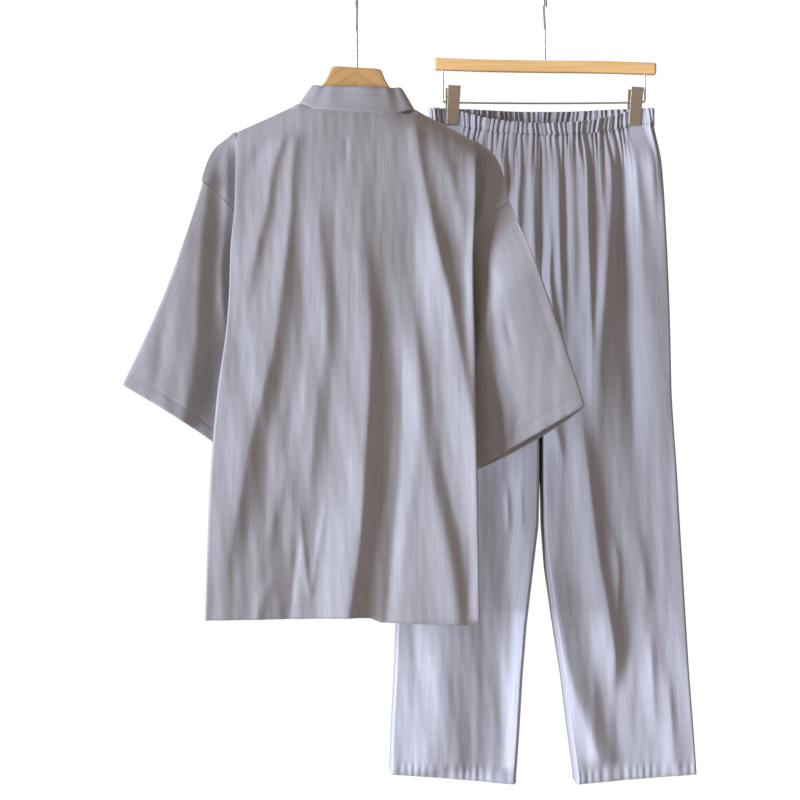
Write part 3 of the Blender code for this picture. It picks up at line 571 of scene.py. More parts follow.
def folds(x, z, rows):
    """How far the folds stand out at (x, z): the sum, over the rows, of the rise times exp(-(d / w)^power),
    where d is the distance from the fold's own smooth path and w its half width on that side."""
    total = np.zeros(np.broadcast(x, z).shape)
    for points, left, right, power, rise, fade_in, fade_out in rows:
        path_x, path_z = zip(*points)
        offset = x - smooth(-z, -np.array(path_z), path_x)
        along = (path_z[0] - z) / (path_z[0] - path_z[-1])
        strength = ease(along / fade_in) * ease((1 - along) / fade_out)
        away = np.abs(offset) / np.where(offset < 0, left, right)
        total = total + rise * strength * np.exp(-np.sqrt(away**2 + 0.01) ** power)
    return total


def ripples(x, z):
    """Small uneven waves that hang down the cloth: four slanted sines of different widths and fades."""
    drop = np.clip((-z - 190) / 300, 0, 1)
    wide = 0.9 * np.sin(x / 8.3 + z / 61 + 1.3 * np.sin(z / 97)) * (0.4 + 0.6 * np.sin(x / 37 + z / 140) ** 2)
    middle = 0.45 * np.sin(x / 4.1 - z / 83 + 2.0 * np.sin(z / 71 + x / 90)) * np.sin(x / 53 - z / 190) ** 2
    small = 0.16 * np.sin(x / 2.3 + z / 31) * np.sin(z / 23 - x / 61)
    level = 0.22 * np.sin(z / 9.0 + 1.9 * np.sin(x / 21)) * np.sin(x / 33 + z / 77) ** 2
    return (0.35 + 0.65 * drop) * (wide + middle) + small + level


def shoulder_z(x):
    return np.interp(x, *zip(*SHOULDER))


def reach(x, z, limits):
    """How far a panel stands off the shoulders' plane: full (1 - exp(-d / roof)), where d is the depth
    below the shoulder line and full grows from one limit at the shoulders to the other at the hem."""
    below = np.maximum(shoulder_z(x) - z, 0)
    full = limits[0] + (limits[1] - limits[0]) * np.clip((-200 - z) / 680, 0, 1)
    return full * (1 - np.exp(-below / ROOF))


def hem_pull(down):
    """The stitch line of a hem, seen across it: a shallow groove at the hem's depth above the edge."""
    return 0.85 * np.exp(-(((down - HEM_DEPTH) / 1.6) ** 2))


def back_y(x, z):
    return -reach(x, z, BACK_REACH) - folds(x, z, BACK_FOLDS) - ripples(x, z)


def side_lines(rows, count, grow=1.0):
    """The side table's columns as smooth lines, at evenly spaced heights that are closer near the top."""
    heights = [-row[0] for row in rows]
    share = np.linspace(0, 1, count) ** grow
    at = np.interp(heights[0] + (heights[-1] - heights[0]) * share, heights, np.arange(len(rows)))
    columns = zip(SIDE_COLUMNS, zip(*rows))
    return at, {name: smooth(at, np.arange(len(rows)), values) for name, values in columns}


def turn_up(points, inward, rows):
    """Adds a hem's inner side: round the edge, then back up inside, a gap behind the last rows of cloth."""
    shift = np.asarray(inward, float) * HEM_WALL_GAP
    edge = points[-1] + shift / 2 + np.array([0, 0, -0.45])
    inner = points[::-1][:rows] + shift
    return np.concatenate([points, edge[None], inner])


def cloth_mesh(name, points, around=False):
    """Quads through a grid of points in millimetres, and a UV map, cut, of the distances along the cloth."""
    rows, columns = points.shape[:2]
    quads = grid_faces(rows, columns, around)
    mesh = bpy.data.meshes.new(name)
    mesh.from_pydata(points.reshape(-1, 3) * MM, [], quads.tolist())
    closed = np.concatenate([points, points[:, :1]], axis=1) if around else points
    across = np.linalg.norm(np.diff(closed, axis=1), axis=2).mean(axis=0)
    down = np.linalg.norm(np.diff(closed, axis=0), axis=2).mean(axis=1)
    u = np.concatenate([[0], np.cumsum(across)]) * MM
    v = -np.concatenate([[0], np.cumsum(down)]) * MM
    place = np.stack(np.meshgrid(u, v), axis=-1)
    corners = [place[:-1, :-1], place[:-1, 1:], place[1:, 1:], place[1:, :-1]]
    layer = mesh.uv_layers.new(name="cut")
    layer.uv.foreach_set("vector", np.stack(corners, axis=2).reshape(-1))
    mesh.shade_smooth()
    return mesh


def cloth(name, points, material, around=False, wall=WALL):
    """A piece of cloth: the surface through the points with half its wall on each side."""
    piece = add_piece(name, cloth_mesh(name, points, around), material)
    thickness = piece.modifiers.new("wall", "SOLIDIFY")
    thickness.thickness = wall * MM
    thickness.offset = 0
    return piece


def stitches(name, line, out, material, pitch=3.2, long=2.1, radius=0.2):
    """A row of sewing stitches along a line of points, each a bead that bows out of the cloth and dips in at
    both ends: centre + s long / 2 along - 0.3 s2 out, for s from -1 to 1, on five rings of five points."""
    line = np.asarray(line, float)
    distance = length_along(line)
    count = max(int(distance[-1] / pitch), 2)
    at = (np.arange(count) + 0.5) * distance[-1] / count
    centre = np.stack([np.interp(at, distance, line[:, i]) for i in range(3)], axis=-1)
    ahead = np.stack([np.interp(at + 0.5, distance, line[:, i]) for i in range(3)], axis=-1)
    behind = np.stack([np.interp(at - 0.5, distance, line[:, i]) for i in range(3)], axis=-1)
    along = ahead - behind
    along /= np.linalg.norm(along, axis=1)[:, None]
    out = np.broadcast_to(np.asarray(out, float), centre.shape)
    side = np.cross(along, out)
    s = np.linspace(-1, 1, 5)[None, :, None]
    middle = centre[:, None] + s * long / 2 * along[:, None] + (0.25 - 0.45 * s**2) * out[:, None]
    angle = np.linspace(0, 2 * math.pi, 5, endpoint=False)[None, None, :, None]
    ring = np.cos(angle) * out[:, None, None] + np.sin(angle) * side[:, None, None]
    points = middle[:, :, None] + radius * np.sqrt(1 - 0.75 * s[..., None] ** 2) * ring
    one = grid_faces(5, 5, True)
    quads = (one[None] + np.arange(count)[:, None, None] * 25).reshape(-1, 4).tolist()
    for i in range(count):
        quads.append(list(range(i * 25 + 4, i * 25 - 1, -1)))
        quads.append(list(range(i * 25 + 20, i * 25 + 25)))
    mesh = bpy.data.meshes.new(name)
    mesh.from_pydata(points.reshape(-1, 3) * MM, [], [face[::-1] for face in quads])
    mesh.shade_smooth()
    return add_piece(name, mesh, material)


def weave_group():
    """Plain weave with drawn-out uneven threads: fine ridges of warp and weft, long thick and thin places
    along the warp, shorter ones across, and a faint cloudiness of the dye."""
    group, given, out = new_group(
        "plain weave",
        [("Cut", "Vector"), ("Place", "Vector"), ("Dye", "Color")],
        [("Colour", "Color"), ("Roughness", "Float"), ("Height", "Float")],
    )

    def streaks(scale, detail):
        return noise(group, scaled(group, given.outputs["Cut"], (*scale, 1.0)), 1.0, detail, 0.55)

    def maths(operation, first, second):
        return add_node(group, "ShaderNodeMath", {0: first, 1: second}, operation=operation).outputs[0]

    threads = scaled(group, given.outputs["Cut"], (9000.0, 9000.0, 1.0))
    split = add_node(group, "ShaderNodeSeparateXYZ", {0: threads})
    warp = maths("SINE", split.outputs["X"], 0.0)
    weft = maths("SINE", split.outputs["Y"], 0.0)
    long_slub = streaks((360.0, 9.0), 3.0)
    fine_slub = streaks((1500.0, 60.0), 2.0)
    cross_slub = streaks((26.0, 700.0), 2.0)
    cloud = noise(group, given.outputs["Place"], 11.0, 3.0)
    slubs = maths("ADD", maths("MULTIPLY", long_slub, 0.75), maths("MULTIPLY", fine_slub, 0.25))
    mixed = maths("ADD", slubs, maths("MULTIPLY", cross_slub, 0.22))
    tone = maths("ADD", maths("MULTIPLY", mixed, 0.56), maths("MULTIPLY", cloud, 0.16))
    shade = maths("ADD", tone, 0.575)
    toned = add_node(
        group, "ShaderNodeVectorMath", {0: given.outputs["Dye"], "Scale": shade}, operation="SCALE"
    )
    group.links.new(toned.outputs[0], out.inputs["Colour"])
    group.links.new(maths("ADD", maths("MULTIPLY", slubs, -0.2), 0.66), out.inputs["Roughness"])
    weave = maths("MULTIPLY", maths("ADD", warp, weft), 0.06)
    group.links.new(maths("ADD", weave, mixed), out.inputs["Height"])
    return group


WEAVE = weave_group()


def cloth_material(name, dye):
    """Greyish lavender cotton and rayon: the weave group over a soft, slightly glossy and downy surface."""
    material, tree, shader = new_material(
        name,
        Specular_IOR_Level=0.42,
        Sheen_Weight=0.16,
        Sheen_Roughness=0.45,
        Sheen_Tint=(0.88, 0.9, 1.0, 1),
    )
    weave = add_node(tree, "ShaderNodeGroup", node_tree=WEAVE)
    tree.links.new(add_node(tree, "ShaderNodeUVMap", uv_map="cut").outputs["UV"], weave.inputs["Cut"])
    tree.links.new(add_node(tree, "ShaderNodeTexCoord").outputs["Object"], weave.inputs["Place"])
    weave.inputs["Dye"].default_value = (*dye, 1)
    made = weave.outputs
    dress(tree, shader, made["Colour"], made["Roughness"], made["Height"], 0.55, 0.0005)
    return material


def thread_material(name, dye):
    """Spun sewing thread: the cloth's dye, made darker in cloudy places as painted shade of the twist's
    grooves.
    """
    material, tree, shader = new_material(name, Roughness=0.6, Sheen_Weight=0.2)
    place = add_node(tree, "ShaderNodeTexCoord").outputs["Object"]
    # Painted shade: this noise darkens the dye to stand for shade in the thread's twist.
    twist = noise(tree, place, 1800.0, 1.0)
    dark, light = ((*(part * share for part in dye), 1) for share in (0.62, 0.95))
    tree.links.new(mixed_colour(tree, twist, dark, light), shader.inputs["Base Color"])
    return material


jacket_cloth = cloth_material("lavender jacket cloth", CLOTH_COLOUR)
jacket_thread = thread_material("jacket thread", CLOTH_COLOUR)


def armhole_share(row):
    """How far along the armhole a place in the side table is: 0 above it, 1 below it."""
    return np.clip((row - ARMHOLE_ROWS[0]) / (ARMHOLE_ROWS[1] - ARMHOLE_ROWS[0]), 0, 1)


def back_points():
    """The back, row by row from the shoulders: left strip and tuck, main face between its folds, right
    tuck and strip. Rows bend up to the shoulder line and the neck, and down to the hem's own line."""
    rows = 206
    left_at, left = side_lines(LEFT_SIDE, rows, 1.12)
    right_at, right = side_lines(RIGHT_SIDE, rows, 1.12)
    share = np.linspace(0, 1, 165)[None, 1:-1]
    x = left["fold"][:, None] + (right["fold"] - left["fold"])[:, None] * share
    z = left["z"][:, None] + (right["z"] - left["z"])[:, None] * share
    neck = smooth(x[0], *zip(*BACK_NECK))
    top = np.where((x[0] > NECK_X[0]) & (x[0] < NECK_X[1]), neck, shoulder_z(x[0]))
    lift = np.clip((left["z"] - LIFT_Z[0]) / (LIFT_Z[1] - LIFT_Z[0]), 0, 1)[:, None]
    fall = np.clip((HEM_FROM_Z - left["z"]) / (HEM_FROM_Z - left["z"][-1]), 0, 1)[:, None] ** 2
    z = z + (top - z[0]) * lift
    z = z + (np.interp(x[-1], *zip(*BACK_HEM)) - z[-1]) * fall
    y = back_y(x, z) + hem_pull(z - z[-1])
    at_neck = ease((NECK_X[1] + 14 - np.abs(x)) / 12) * ease((z + 230) / 25)
    y = np.where(at_neck > 0, np.minimum(y, y + (np.minimum(y, -ARM_CLEAR) - y) * at_neck), y)
    blocks = [np.stack([x, y, z], axis=-1)]
    settle = ease((left["z"][0] - left["z"]) / 14)
    for side, side_at, name, turn in ((left, left_at, "left", -1), (right, right_at, "right", 1)):
        share = armhole_share(side_at)
        sewn = np.where(share > 0.5, 1 - (2 * np.sqrt(share * (1 - share))) ** 0.6, 0)
        face = back_y(side["fold"], side["z"])
        guide_x = side["fold"] - turn * GUIDE_IN
        rim_x = side["fold"] - turn * TURN_IN
        knots_x = [
            guide_x,
            rim_x,
            side["fold"],
            rim_x,
            side["tuck"],
            (side["tuck"] + side["edge"]) / 2,
            side["edge"],
        ]
        tuck_y = np.minimum(face + TUCK_DEPTH, -ARM_CLEAR - 0.6)
        rim = back_y(rim_x, side["z"])
        lower = [rim + 0.1, face + 1.2, face + TURN_DEPTH, tuck_y]
        lower = [value * settle - SHOULDER_Y * (1 - settle) for value in lower]
        knots_y = [back_y(guide_x, side["z"]), *lower, 0.4 * lower[3] + 0.6 * side["back_y"], side["back_y"]]
        at = np.array(STRIP_AT) if turn > 0 else np.array(STRIP_AT)[::-1]
        strip_x = smooth(at, np.arange(7), np.stack(knots_x, axis=-1))
        strip_y = smooth(at, np.arange(7), np.stack(knots_y, axis=-1))
        strip_z = np.repeat(side["z"][:, None], len(at), axis=1)
        strip_fold = folds(strip_x, strip_z, HEAD_FOLDS[name]) * settle[:, None] * ease((at - 4) / 0.6)
        strip_y = strip_y - strip_fold * (1 - sewn[:, None] * ease((at - 4.2) / 1.8))
        strip_y = strip_y + SEAM_ROLL[name] * ease((at - 5.86) / 0.12) * settle[:, None]
        strip = np.stack([strip_x, strip_y, strip_z], axis=-1)
        blocks = [strip] + blocks if turn < 0 else blocks + [strip]
    return np.concatenate(blocks, axis=1)


back_grid = back_points()
back_panel = cloth("back_panel", turn_up(back_grid, (0, 1, 0), 5), jacket_cloth)
back_hem_line = back_grid[-6] - (0, STITCH_OUT, 0)
back_hem_stitches = stitches("back_hem_stitches", back_hem_line, (0, -1, 0), jacket_thread)
place_piece(back_panel, "jacket_back")
place_piece(back_hem_stitches)


# The jacket's two fronts: each is sewn to the back along the shoulder and the side, and to the collar band
# along its inner edge. They hang to the wearer's side of the hanger, the left one lapped over the right.
OVERLAP_STEP = 3.4
FRONT_GAP = 1.2
FRONT_UNDER = 0.8
ARM_TIP_Z = -262
# The collar band's left half from the back of the neck to the hem: the seam (x, z) and the free edge.
BAND_COLUMNS = ("seam_x", "seam_z", "free_x", "free_z")
BAND = (
    (-28, -173.2, -24, -139.4),
    (-57, -170.4, -47, -139.2),
    (-80, -165.2, -63, -139.4),
    (-86, -186, -63, -160),
    (-78, -224, -46, -205),
    (-60, -272, -25, -256),
    (-26, -356, 9, -340),
    (6, -440, 42, -428),
    (22, -530, 60, -524),
    (27, -640, 65, -638),
    (30, -760, 68, -760),
    (31, -876, 69, -876),
)
FRONT_FOLDS = (
    (((-128, -200), (-132, -300), (-126, -420), (-110, -640)), 12, 9, 1.6, 4.5, 0.12, 0.4),
    (((-98, -215), (-100, -330), (-84, -470), (-60, -660)), 9, 10, 1.6, -3.6, 0.2, 0.4),
    (((-140, -420), (-126, -560), (-120, -700), (-124, -890)), 14, 12, 1.7, 4.0, 0.3, 0.02),
    (((-90, -520), (-78, -640), (-70, -760), (-72, -890)), 12, 12, 1.7, -3.5, 0.3, 0.02),
    (((-20, -500), (-10, -620), (-16, -760), (-22, -890)), 10, 13, 1.6, 4.0, 0.3, 0.02),
    (((18, -560), (26, -680), (22, -890)), 8, 8, 1.6, -2.5, 0.4, 0.02),
    (((122, -215), (126, -330), (116, -460), (92, -640)), 10, 12, 1.6, 4.6, 0.12, 0.4),
    (((96, -225), (98, -340), (80, -480)), 8, 8, 1.6, -3.4, 0.2, 0.4),
    (((128, -440), (112, -580), (104, -720), (106, -890)), 12, 14, 1.7, 4.4, 0.3, 0.02),
    (((84, -560), (78, -680), (82, -890)), 9, 9, 1.7, -3.2, 0.35, 0.02),
)


def front_y(x, z):
    """The fronts' own face, which the lapped front, the band and the ties all follow."""
    return reach(x, z, FRONT_REACH) + folds(x, z, FRONT_FOLDS) + 0.5 * ripples(x, z)


def band_half(turn):
    """The band's seam and free edge on one side, as x, z and the step of its layer at each table row."""
    step = OVERLAP_STEP if turn < 0 else 0
    ends = []
    for part in (0, 2):
        x = np.array([row[part] for row in BAND], float) * -turn
        z = np.array([row[part + 1] for row in BAND], float)
        slope = (shoulder_z(x) - shoulder_z(-np.abs(x))) * np.clip((z + 420) / 220, 0, 1)
        slope = slope * (1 - 0.5 * (part > 0))
        ends.append([x, z + slope, step * ease((-z - slope - 190) / 120)])
    return ends


def front_points(rows_table, turn):
    """A front, row by row: its strip from the side seam to its face, then the face to the band's seam."""
    rows = 150
    side_at, side = side_lines(rows_table, rows, 1.12)
    head = folds(side["edge"], side["z"], HEAD_FOLDS["left" if turn < 0 else "right"])
    head = head * np.exp(-((armhole_share(side_at) / 0.1) ** 2))
    seam_x, seam_z, _ = band_half(turn)[0]
    seam_x, seam_z = seam_x[2:], seam_z[2:]
    down = (side["z"][0] - side["z"]) / (side["z"][0] - side["z"][-1])
    edge_z = seam_z[0] - 2 + (seam_z[-1] - seam_z[0] + 2) * down
    edge_x = smooth(-edge_z, -seam_z, seam_x) + turn * FRONT_GAP
    step = OVERLAP_STEP if turn < 0 else 0
    share = np.linspace(0, 1, 84)[None, 1:]
    start_x = side["tuck"] - turn * 22
    x = start_x[:, None] + (edge_x - start_x)[:, None] * share
    z = side["z"][:, None] + (edge_z - side["z"])[:, None] * share
    lift = ease((28 - (side["z"][0] - side["z"])) / 28)[:, None]
    z = z + (shoulder_z(x[0]) - z[0] - FRONT_UNDER) * lift
    settle = ease((side["z"][0] - side["z"]) / 10)
    y = front_y(x, z) + step * ease((-z - 190) / 120) * ease(share * 3) - hem_pull(z - z[-1])
    y = SHOULDER_Y + (y - SHOULDER_Y) * settle[:, None]
    face = np.stack([x, y, z], axis=-1)
    turned_y = front_y(side["tuck"], side["z"])
    knots_x = [side["edge"]]
    knots_y = [side["front_y"] - head]
    for part, inward in ((0.5, 1.5), (0.86, 7)):
        knots_x.append(side["edge"] * (1 - part) + side["tuck"] * part - turn * inward)
        past_arm = np.where(side["z"] > ARM_TIP_Z, ARM_CLEAR * part + 1.5, -100)
        between = side["front_y"] * (1 - part) + turned_y * part
        knots_y.append(np.maximum(between, past_arm * settle - 1.2 * (1 - settle)))
    knots_x.append(start_x)
    knots_y.append(front_y(start_x, side["z"]))
    at = np.linspace(0, 3, 19)
    strip_x = smooth(at, np.arange(4), np.stack(knots_x, axis=-1))
    strip_y = smooth(at, np.arange(4), np.stack(knots_y, axis=-1))
    strip_y = SHOULDER_Y + (strip_y - SHOULDER_Y) * settle[:, None]
    strip = np.stack([strip_x, strip_y, np.repeat(side["z"][:, None], len(at), axis=1)], axis=-1)
    return np.concatenate([strip, face], axis=1)


for side, rows_table, turn, cut in (
    ("left", LEFT_SIDE, -1, (0.28, 0.72)),
    ("right", RIGHT_SIDE, 1, (0.27, 0.72)),
):
    grid = front_points(rows_table, turn)
    front = cloth(f"front_panel_{side}", turn_up(grid, (0, -1, 0), 4), jacket_cloth)
    hem = stitches(f"front_hem_stitches_{side}", grid[-5] + (0, STITCH_OUT, 0), (0, 1, 0), jacket_thread)
    place_piece(front, f"jacket_front_{side}")
    place_piece(hem)


# The sleeves: wide tubes of the same cloth, set into the dropped armholes under the body's turned edge and
# flattened by their own weight. The cuff is turned up once and stitched.
SLEEVE_COLUMNS = ("x_out", "z_out", "x_mid", "z_mid", "x_in", "z_in", "bow", "far_drop")
LEFT_SLEEVE = (-322.5, -555.5, -255, -596, -170, -656, -9, 2)
RIGHT_SLEEVE = (312.5, -584, 252, -620, 162, -672, 3, 9)
SLEEVE_Y = {"left": (-27, -9), "right": (-61, -38)}
SLEEVE_DEPTH = 15.5
SLEEVE_NEAR = {"left": (7, 4), "right": (6, 4)}
SLEEVE_LAP = 4
SLEEVE_ROUND = 112
SLEEVE_FOLDS = {
    "left": (
        (((-246, -360), (-262, -460), (-284, -590)), 9, 9, 1.7, -1.6, 0.4, 0.02),
        (((-236, -300), (-250, -380), (-268, -470)), 8, 8, 1.7, 1.6, 0.3, 0.5),
        (((-186, -500), (-184, -580), (-182, -680)), 7, 7, 1.6, 2.4, 0.4, 0.02),
    ),
    "right": (
        (((178, -330), (184, -420), (190, -520), (196, -670)), 9, 12, 1.7, -3.0, 0.3, 0.02),
        (((203, -452), (209, -480), (217, -512)), 3.5, 4.5, 1.5, -2.4, 0.4, 0.4),
        (((222, -590), (218, -612), (214, -650)), 4, 4, 1.5, -1.8, 0.4, 0.1),
        (((232, -350), (256, -450), (284, -560)), 10, 8, 1.7, -1.8, 0.3, 0.3),
    ),
}
SLEEVE_FAR_FOLDS = {
    "left": (
        (((-210, -300), (-224, -430), (-240, -620)), 12, 14, 1.6, 4.0, 0.25, 0.02),
        (((-190, -330), (-196, -460), (-200, -660)), 9, 9, 1.6, -3.2, 0.25, 0.02),
        (((-248, -380), (-270, -480), (-290, -600)), 9, 9, 1.7, 2.0, 0.4, 0.02),
    ),
    "right": (
        (((206, -320), (220, -440), (236, -660)), 13, 12, 1.6, 4.0, 0.25, 0.02),
        (((186, -340), (192, -470), (194, -690)), 9, 9, 1.6, -3.2, 0.25, 0.02),
        (((240, -400), (262, -500), (280, -640)), 9, 9, 1.7, 2.0, 0.4, 0.02),
    ),
}


def armhole(rows_table, share):
    """The armhole's seam at shares of its length from the top to the underarm: x, z, back y and front y."""
    at, side = side_lines(rows_table, 400)
    inside = (at >= ARMHOLE_ROWS[0]) & (at <= ARMHOLE_ROWS[1])
    line = np.stack([side["edge"][inside], side["z"][inside]], axis=-1)
    along = length_along(line)
    names = ("edge", "z", "back_y", "front_y")
    return [np.interp(share * along[-1], along, side[name][inside]) for name in names]


def sleeve_points(side, rows_table, cut, turn):
    """The sleeve, ring by ring from under the armhole's edge to the cuff. Round a ring, a angle goes from the
    outer edge over the near face to the underarm and back over the far face; the depth is its sine."""
    x_out, z_out, x_mid, z_mid, x_in, z_in, bow, far_drop = cut
    angle = np.linspace(0, 2 * math.pi, SLEEVE_ROUND, endpoint=False)
    share = (1 - np.cos(angle)) / 2
    near = np.sin(angle) > -1e-6
    x, z, back, front = armhole(rows_table, share)
    x_a, z_a = armhole(rows_table, np.clip(share - 0.02, 0, 1))[:2]
    x_b, z_b = armhole(rows_table, np.clip(share + 0.02, 0, 1))[:2]
    length = np.hypot(x_b - x_a, z_b - z_a)
    out_x, out_z = (z_b - z_a) / length * -turn, (x_b - x_a) / length * turn
    middle = (back + front) / 2
    tuck = np.where(near, SLEEVE_TUCK[side], -1.5) * np.abs(np.sin(angle)) ** 0.3
    seam_y = np.where(near, back, front) + tuck
    seam_y = middle + (seam_y - middle) * np.abs(np.sin(angle)) ** 0.35
    cuff_x = smooth(share, (0, 0.45, 1), (x_out, x_mid, x_in))
    cuff_z = smooth(share, (0, 0.45, 1), (z_out, z_mid, z_in))
    cuff_z = cuff_z - np.where(near, 0, far_drop * np.sin(math.pi * share) ** 0.5)
    along = np.concatenate([[-0.025, -0.012], np.linspace(0, 1, 100)])[:, None]
    inside = np.clip(-along / 0.025, 0, 1) * SLEEVE_LAP
    forward = np.clip(along, 0, 1)
    lean = bow * turn * np.sin(math.pi * forward) * (1 - share)
    ring_x = x - out_x * inside + (cuff_x - x) * forward + lean
    ring_z = z - out_z * inside + (cuff_z - z) * forward
    deep = np.where(near, np.interp(share, (0, 1), SLEEVE_NEAR[side]), SLEEVE_DEPTH)
    full = deep * np.sign(np.sin(angle)) * np.abs(np.sin(angle)) ** np.where(near, 0.3, 0.85)
    hung = np.interp(share, (0, 1), SLEEVE_Y[side]) - full
    ring_y = seam_y + (hung - seam_y) * ease(forward / 0.35)
    bare = np.abs(np.sin(angle)) ** 0.6
    grow = bare * ease(forward / 0.08)
    near_fold = folds(ring_x, ring_z, SLEEVE_FOLDS[side]) + 0.7 * ripples(ring_x, ring_z)
    carried = np.where(near, np.where(share < 0.5, 1, bare), np.exp(-((share / 0.1) ** 2)))
    head_fold = folds(ring_x, ring_z, HEAD_FOLDS[side]) * carried
    far_fold = folds(ring_x, ring_z, SLEEVE_FAR_FOLDS[side]) + 0.7 * ripples(ring_x + 40, ring_z)
    above_cuff = (1 - forward) * np.hypot(cuff_x - x, cuff_z - z)
    groove = hem_pull(above_cuff)
    ring_y = ring_y + grow * np.where(near, groove - near_fold, far_fold - groove) - head_fold
    rings = np.stack([ring_x, ring_y, ring_z], axis=-1)
    inward = np.stack([-turn * np.cos(angle) * 0.6, np.sin(angle), 0 * angle], axis=-1)
    return rings, inward


for side, rows_table, cut, turn, flat in (
    ("left", LEFT_SIDE, LEFT_SLEEVE, -1, (0.42, 0.29)),
    ("right", RIGHT_SIDE, RIGHT_SLEEVE, 1, (0.42, 0.29)),
):
    rings, inward = sleeve_points(side, rows_table, cut, turn)
    sleeve = cloth(f"wide_sleeve_{side}", turn_up(rings, inward, 6), jacket_cloth, around=True)
    line = rings[-7] - inward * STITCH_OUT
    half = SLEEVE_ROUND // 2
    hem = stitches(f"cuff_stitches_{side}", line[:half], (0, -1, 0), jacket_thread)
    far_hem = stitches(f"cuff_far_stitches_{side}", line[half + 1 :], (0, 1, 0), jacket_thread)
    place_piece(sleeve, f"sleeve_{side}")
    for row in (hem, far_hem):
        place_piece(row)


# The collar band: one long strip of doubled cloth, sewn on along its seam. It stands round the back of the
# neck and runs down both fronts' inner edges to the hem; its outer edge is a fold.
BAND_WALL = 2.0
band_left, band_right = band_half(-1), band_half(1)


def band_points():
    """The band, station by station from the left hem round the neck to the right hem. Round a station the
    points pass the near side from the seam to the folded edge, and the far side back: a flat oval."""
    stations = []
    from_middle = np.abs(np.arange(2 * len(BAND)) - len(BAND) + 0.5)
    throat = None
    for part in (0, 1):
        x, z, step = (np.concatenate([band_left[part][i][::-1], band_right[part][i]]) for i in range(3))
        y = reach(x, z, FRONT_REACH) + step
        if part == 0:
            depth = -reach(x, z, BACK_REACH) - 1.5
            throat = y * 0.85
        else:
            y = np.where(np.abs(from_middle - 3.5) < 0.1, throat, y)
        y = np.where(from_middle < 2, np.minimum(depth * (0.8 if part else 1), -ARM_CLEAR - 3), y)
        y = np.where(np.abs(from_middle - 2.5) < 0.1, -ARM_CLEAR - 1 + 3 * part, y)
        stations.append((x, y, z, step))
    knots = np.arange(2 * len(BAND))
    fine = np.linspace(0, len(knots) - 1, 460)
    away = np.abs(fine - len(BAND) + 0.5)
    on_front = ease((away - 3.2) / 1.0)
    at_back = ease((2.2 - away) / 1.0)
    across = np.linspace(0, 1, 11)
    seam, free = ([smooth(fine, knots, values) for values in station] for station in stations)
    x, y, z, step = (a[:, None] + (b - a)[:, None] * across for a, b in zip(seam, free))
    z = z - 2.5 * (1 - across) * at_back[:, None]
    lined = front_y(x, z) + step
    y = y + (lined - y) * on_front[:, None]
    wave = 1.5 * np.sin(fine * 4.4) * np.sin(fine * 1.7 + 1)
    y = y - (wave * ease((2.4 - away) / 0.8))[:, None] * across
    middle = np.stack([x, y, z], axis=-1)
    along = np.gradient(middle, axis=0)
    side = np.gradient(middle, axis=1)
    normal = np.cross(along, side)
    normal /= np.linalg.norm(normal, axis=2)[..., None]
    plump = BAND_WALL / 2 * (0.45 + 0.55 * np.sqrt(1 - (2 * across - 1) ** 4 * 0.96))
    offset = normal * plump[None, :, None]
    near = middle + offset
    far = (middle - offset)[:, ::-1]
    return np.concatenate([near, far], axis=1)


def doubled(name, rings, material):
    """A strip of doubled cloth: the closed tube through its stations, with both ends sewn shut."""
    mesh = cloth_mesh(name, rings, around=True)
    faces, turned = closed_faces(rings)
    closed = bpy.data.meshes.new(name)
    closed.from_pydata(rings.reshape(-1, 3) * MM, [], faces)
    place = np.zeros((len(mesh.loops), 2), np.float32)
    mesh.uv_layers["cut"].uv.foreach_get("vector", place.reshape(-1))
    corners = place.reshape(-1, 4, 2)
    corners = corners[:, ::-1] if turned else corners
    extra = np.zeros((2 * rings.shape[1], 2), np.float32)
    layer = closed.uv_layers.new(name="cut")
    layer.uv.foreach_set("vector", np.concatenate([corners.reshape(-1, 2), extra]).reshape(-1))
    closed.shade_smooth()
    bpy.data.meshes.remove(mesh)
    return add_piece(name, closed, material)


band = doubled("neck_and_front_band", band_points(), jacket_cloth)
place_piece(band, "collar_band")


# The front ties: two narrow tapes of the same cloth, folded and stitched flat, sewn to the fronts at the
# waist, one inside and one outside the lap.
TIES = {"left": (55, -585, 59, 1), "right": (103, -590, 107, 0)}
TIE_LENGTH = 235
TIE_WIDTH = 13
TIE_THICK = 1.6


def tie_rings(top_x, top_z, foot_x, layers):
    """Sections down the tape, each a flat rounded outline across it; the tape sways a little from side to
    side and turns a little about its own length."""
    down = np.linspace(0, 1, 60)
    angle = np.linspace(0, 2 * math.pi, 20, endpoint=False)
    across = np.sign(np.cos(angle)) * np.abs(np.cos(angle)) ** 0.55 * TIE_WIDTH / 2
    through = np.sign(np.sin(angle)) * np.abs(np.sin(angle)) ** 0.8 * TIE_THICK / 2
    sway = 2.2 * np.sin(down * 4.2) * down
    twist = 0.07 * np.sin(down * 5.0) * down
    x = top_x + (foot_x - top_x) * down + sway
    z = top_z - TIE_LENGTH * down
    lift = OVERLAP_STEP * layers + 2.4
    y = front_y(x, z) + lift
    ring_x = x[:, None] + across * np.cos(twist)[:, None] - through * np.sin(twist)[:, None]
    ring_y = y[:, None] + across * np.sin(twist)[:, None] + through * np.cos(twist)[:, None]
    return np.stack([ring_x, ring_y, np.repeat(z[:, None], 20, axis=1)], axis=-1)


for side, (top_x, top_z, foot_x, layers) in TIES.items():
    tie = doubled(f"tie_tape_{side}", tie_rings(top_x, top_z, foot_x, layers), jacket_cloth)
    place_piece(tie, f"front_tie_{side}")


# The clip hanger's bar: a beech stick, rounded along its edges and lacquered. It bows down a little in
# the middle, and it tips down a little to the right.
BAR_X = (109.8, 433.8)
BAR_TOP = ((109.8, -78), (190, -80.6), (272, -81.9), (350, -82.7), (433.8, -85.3))
BAR_HEIGHT = 17.5
BAR_HALF_DEPTH = 6.5
TROUSERS_Y = 110


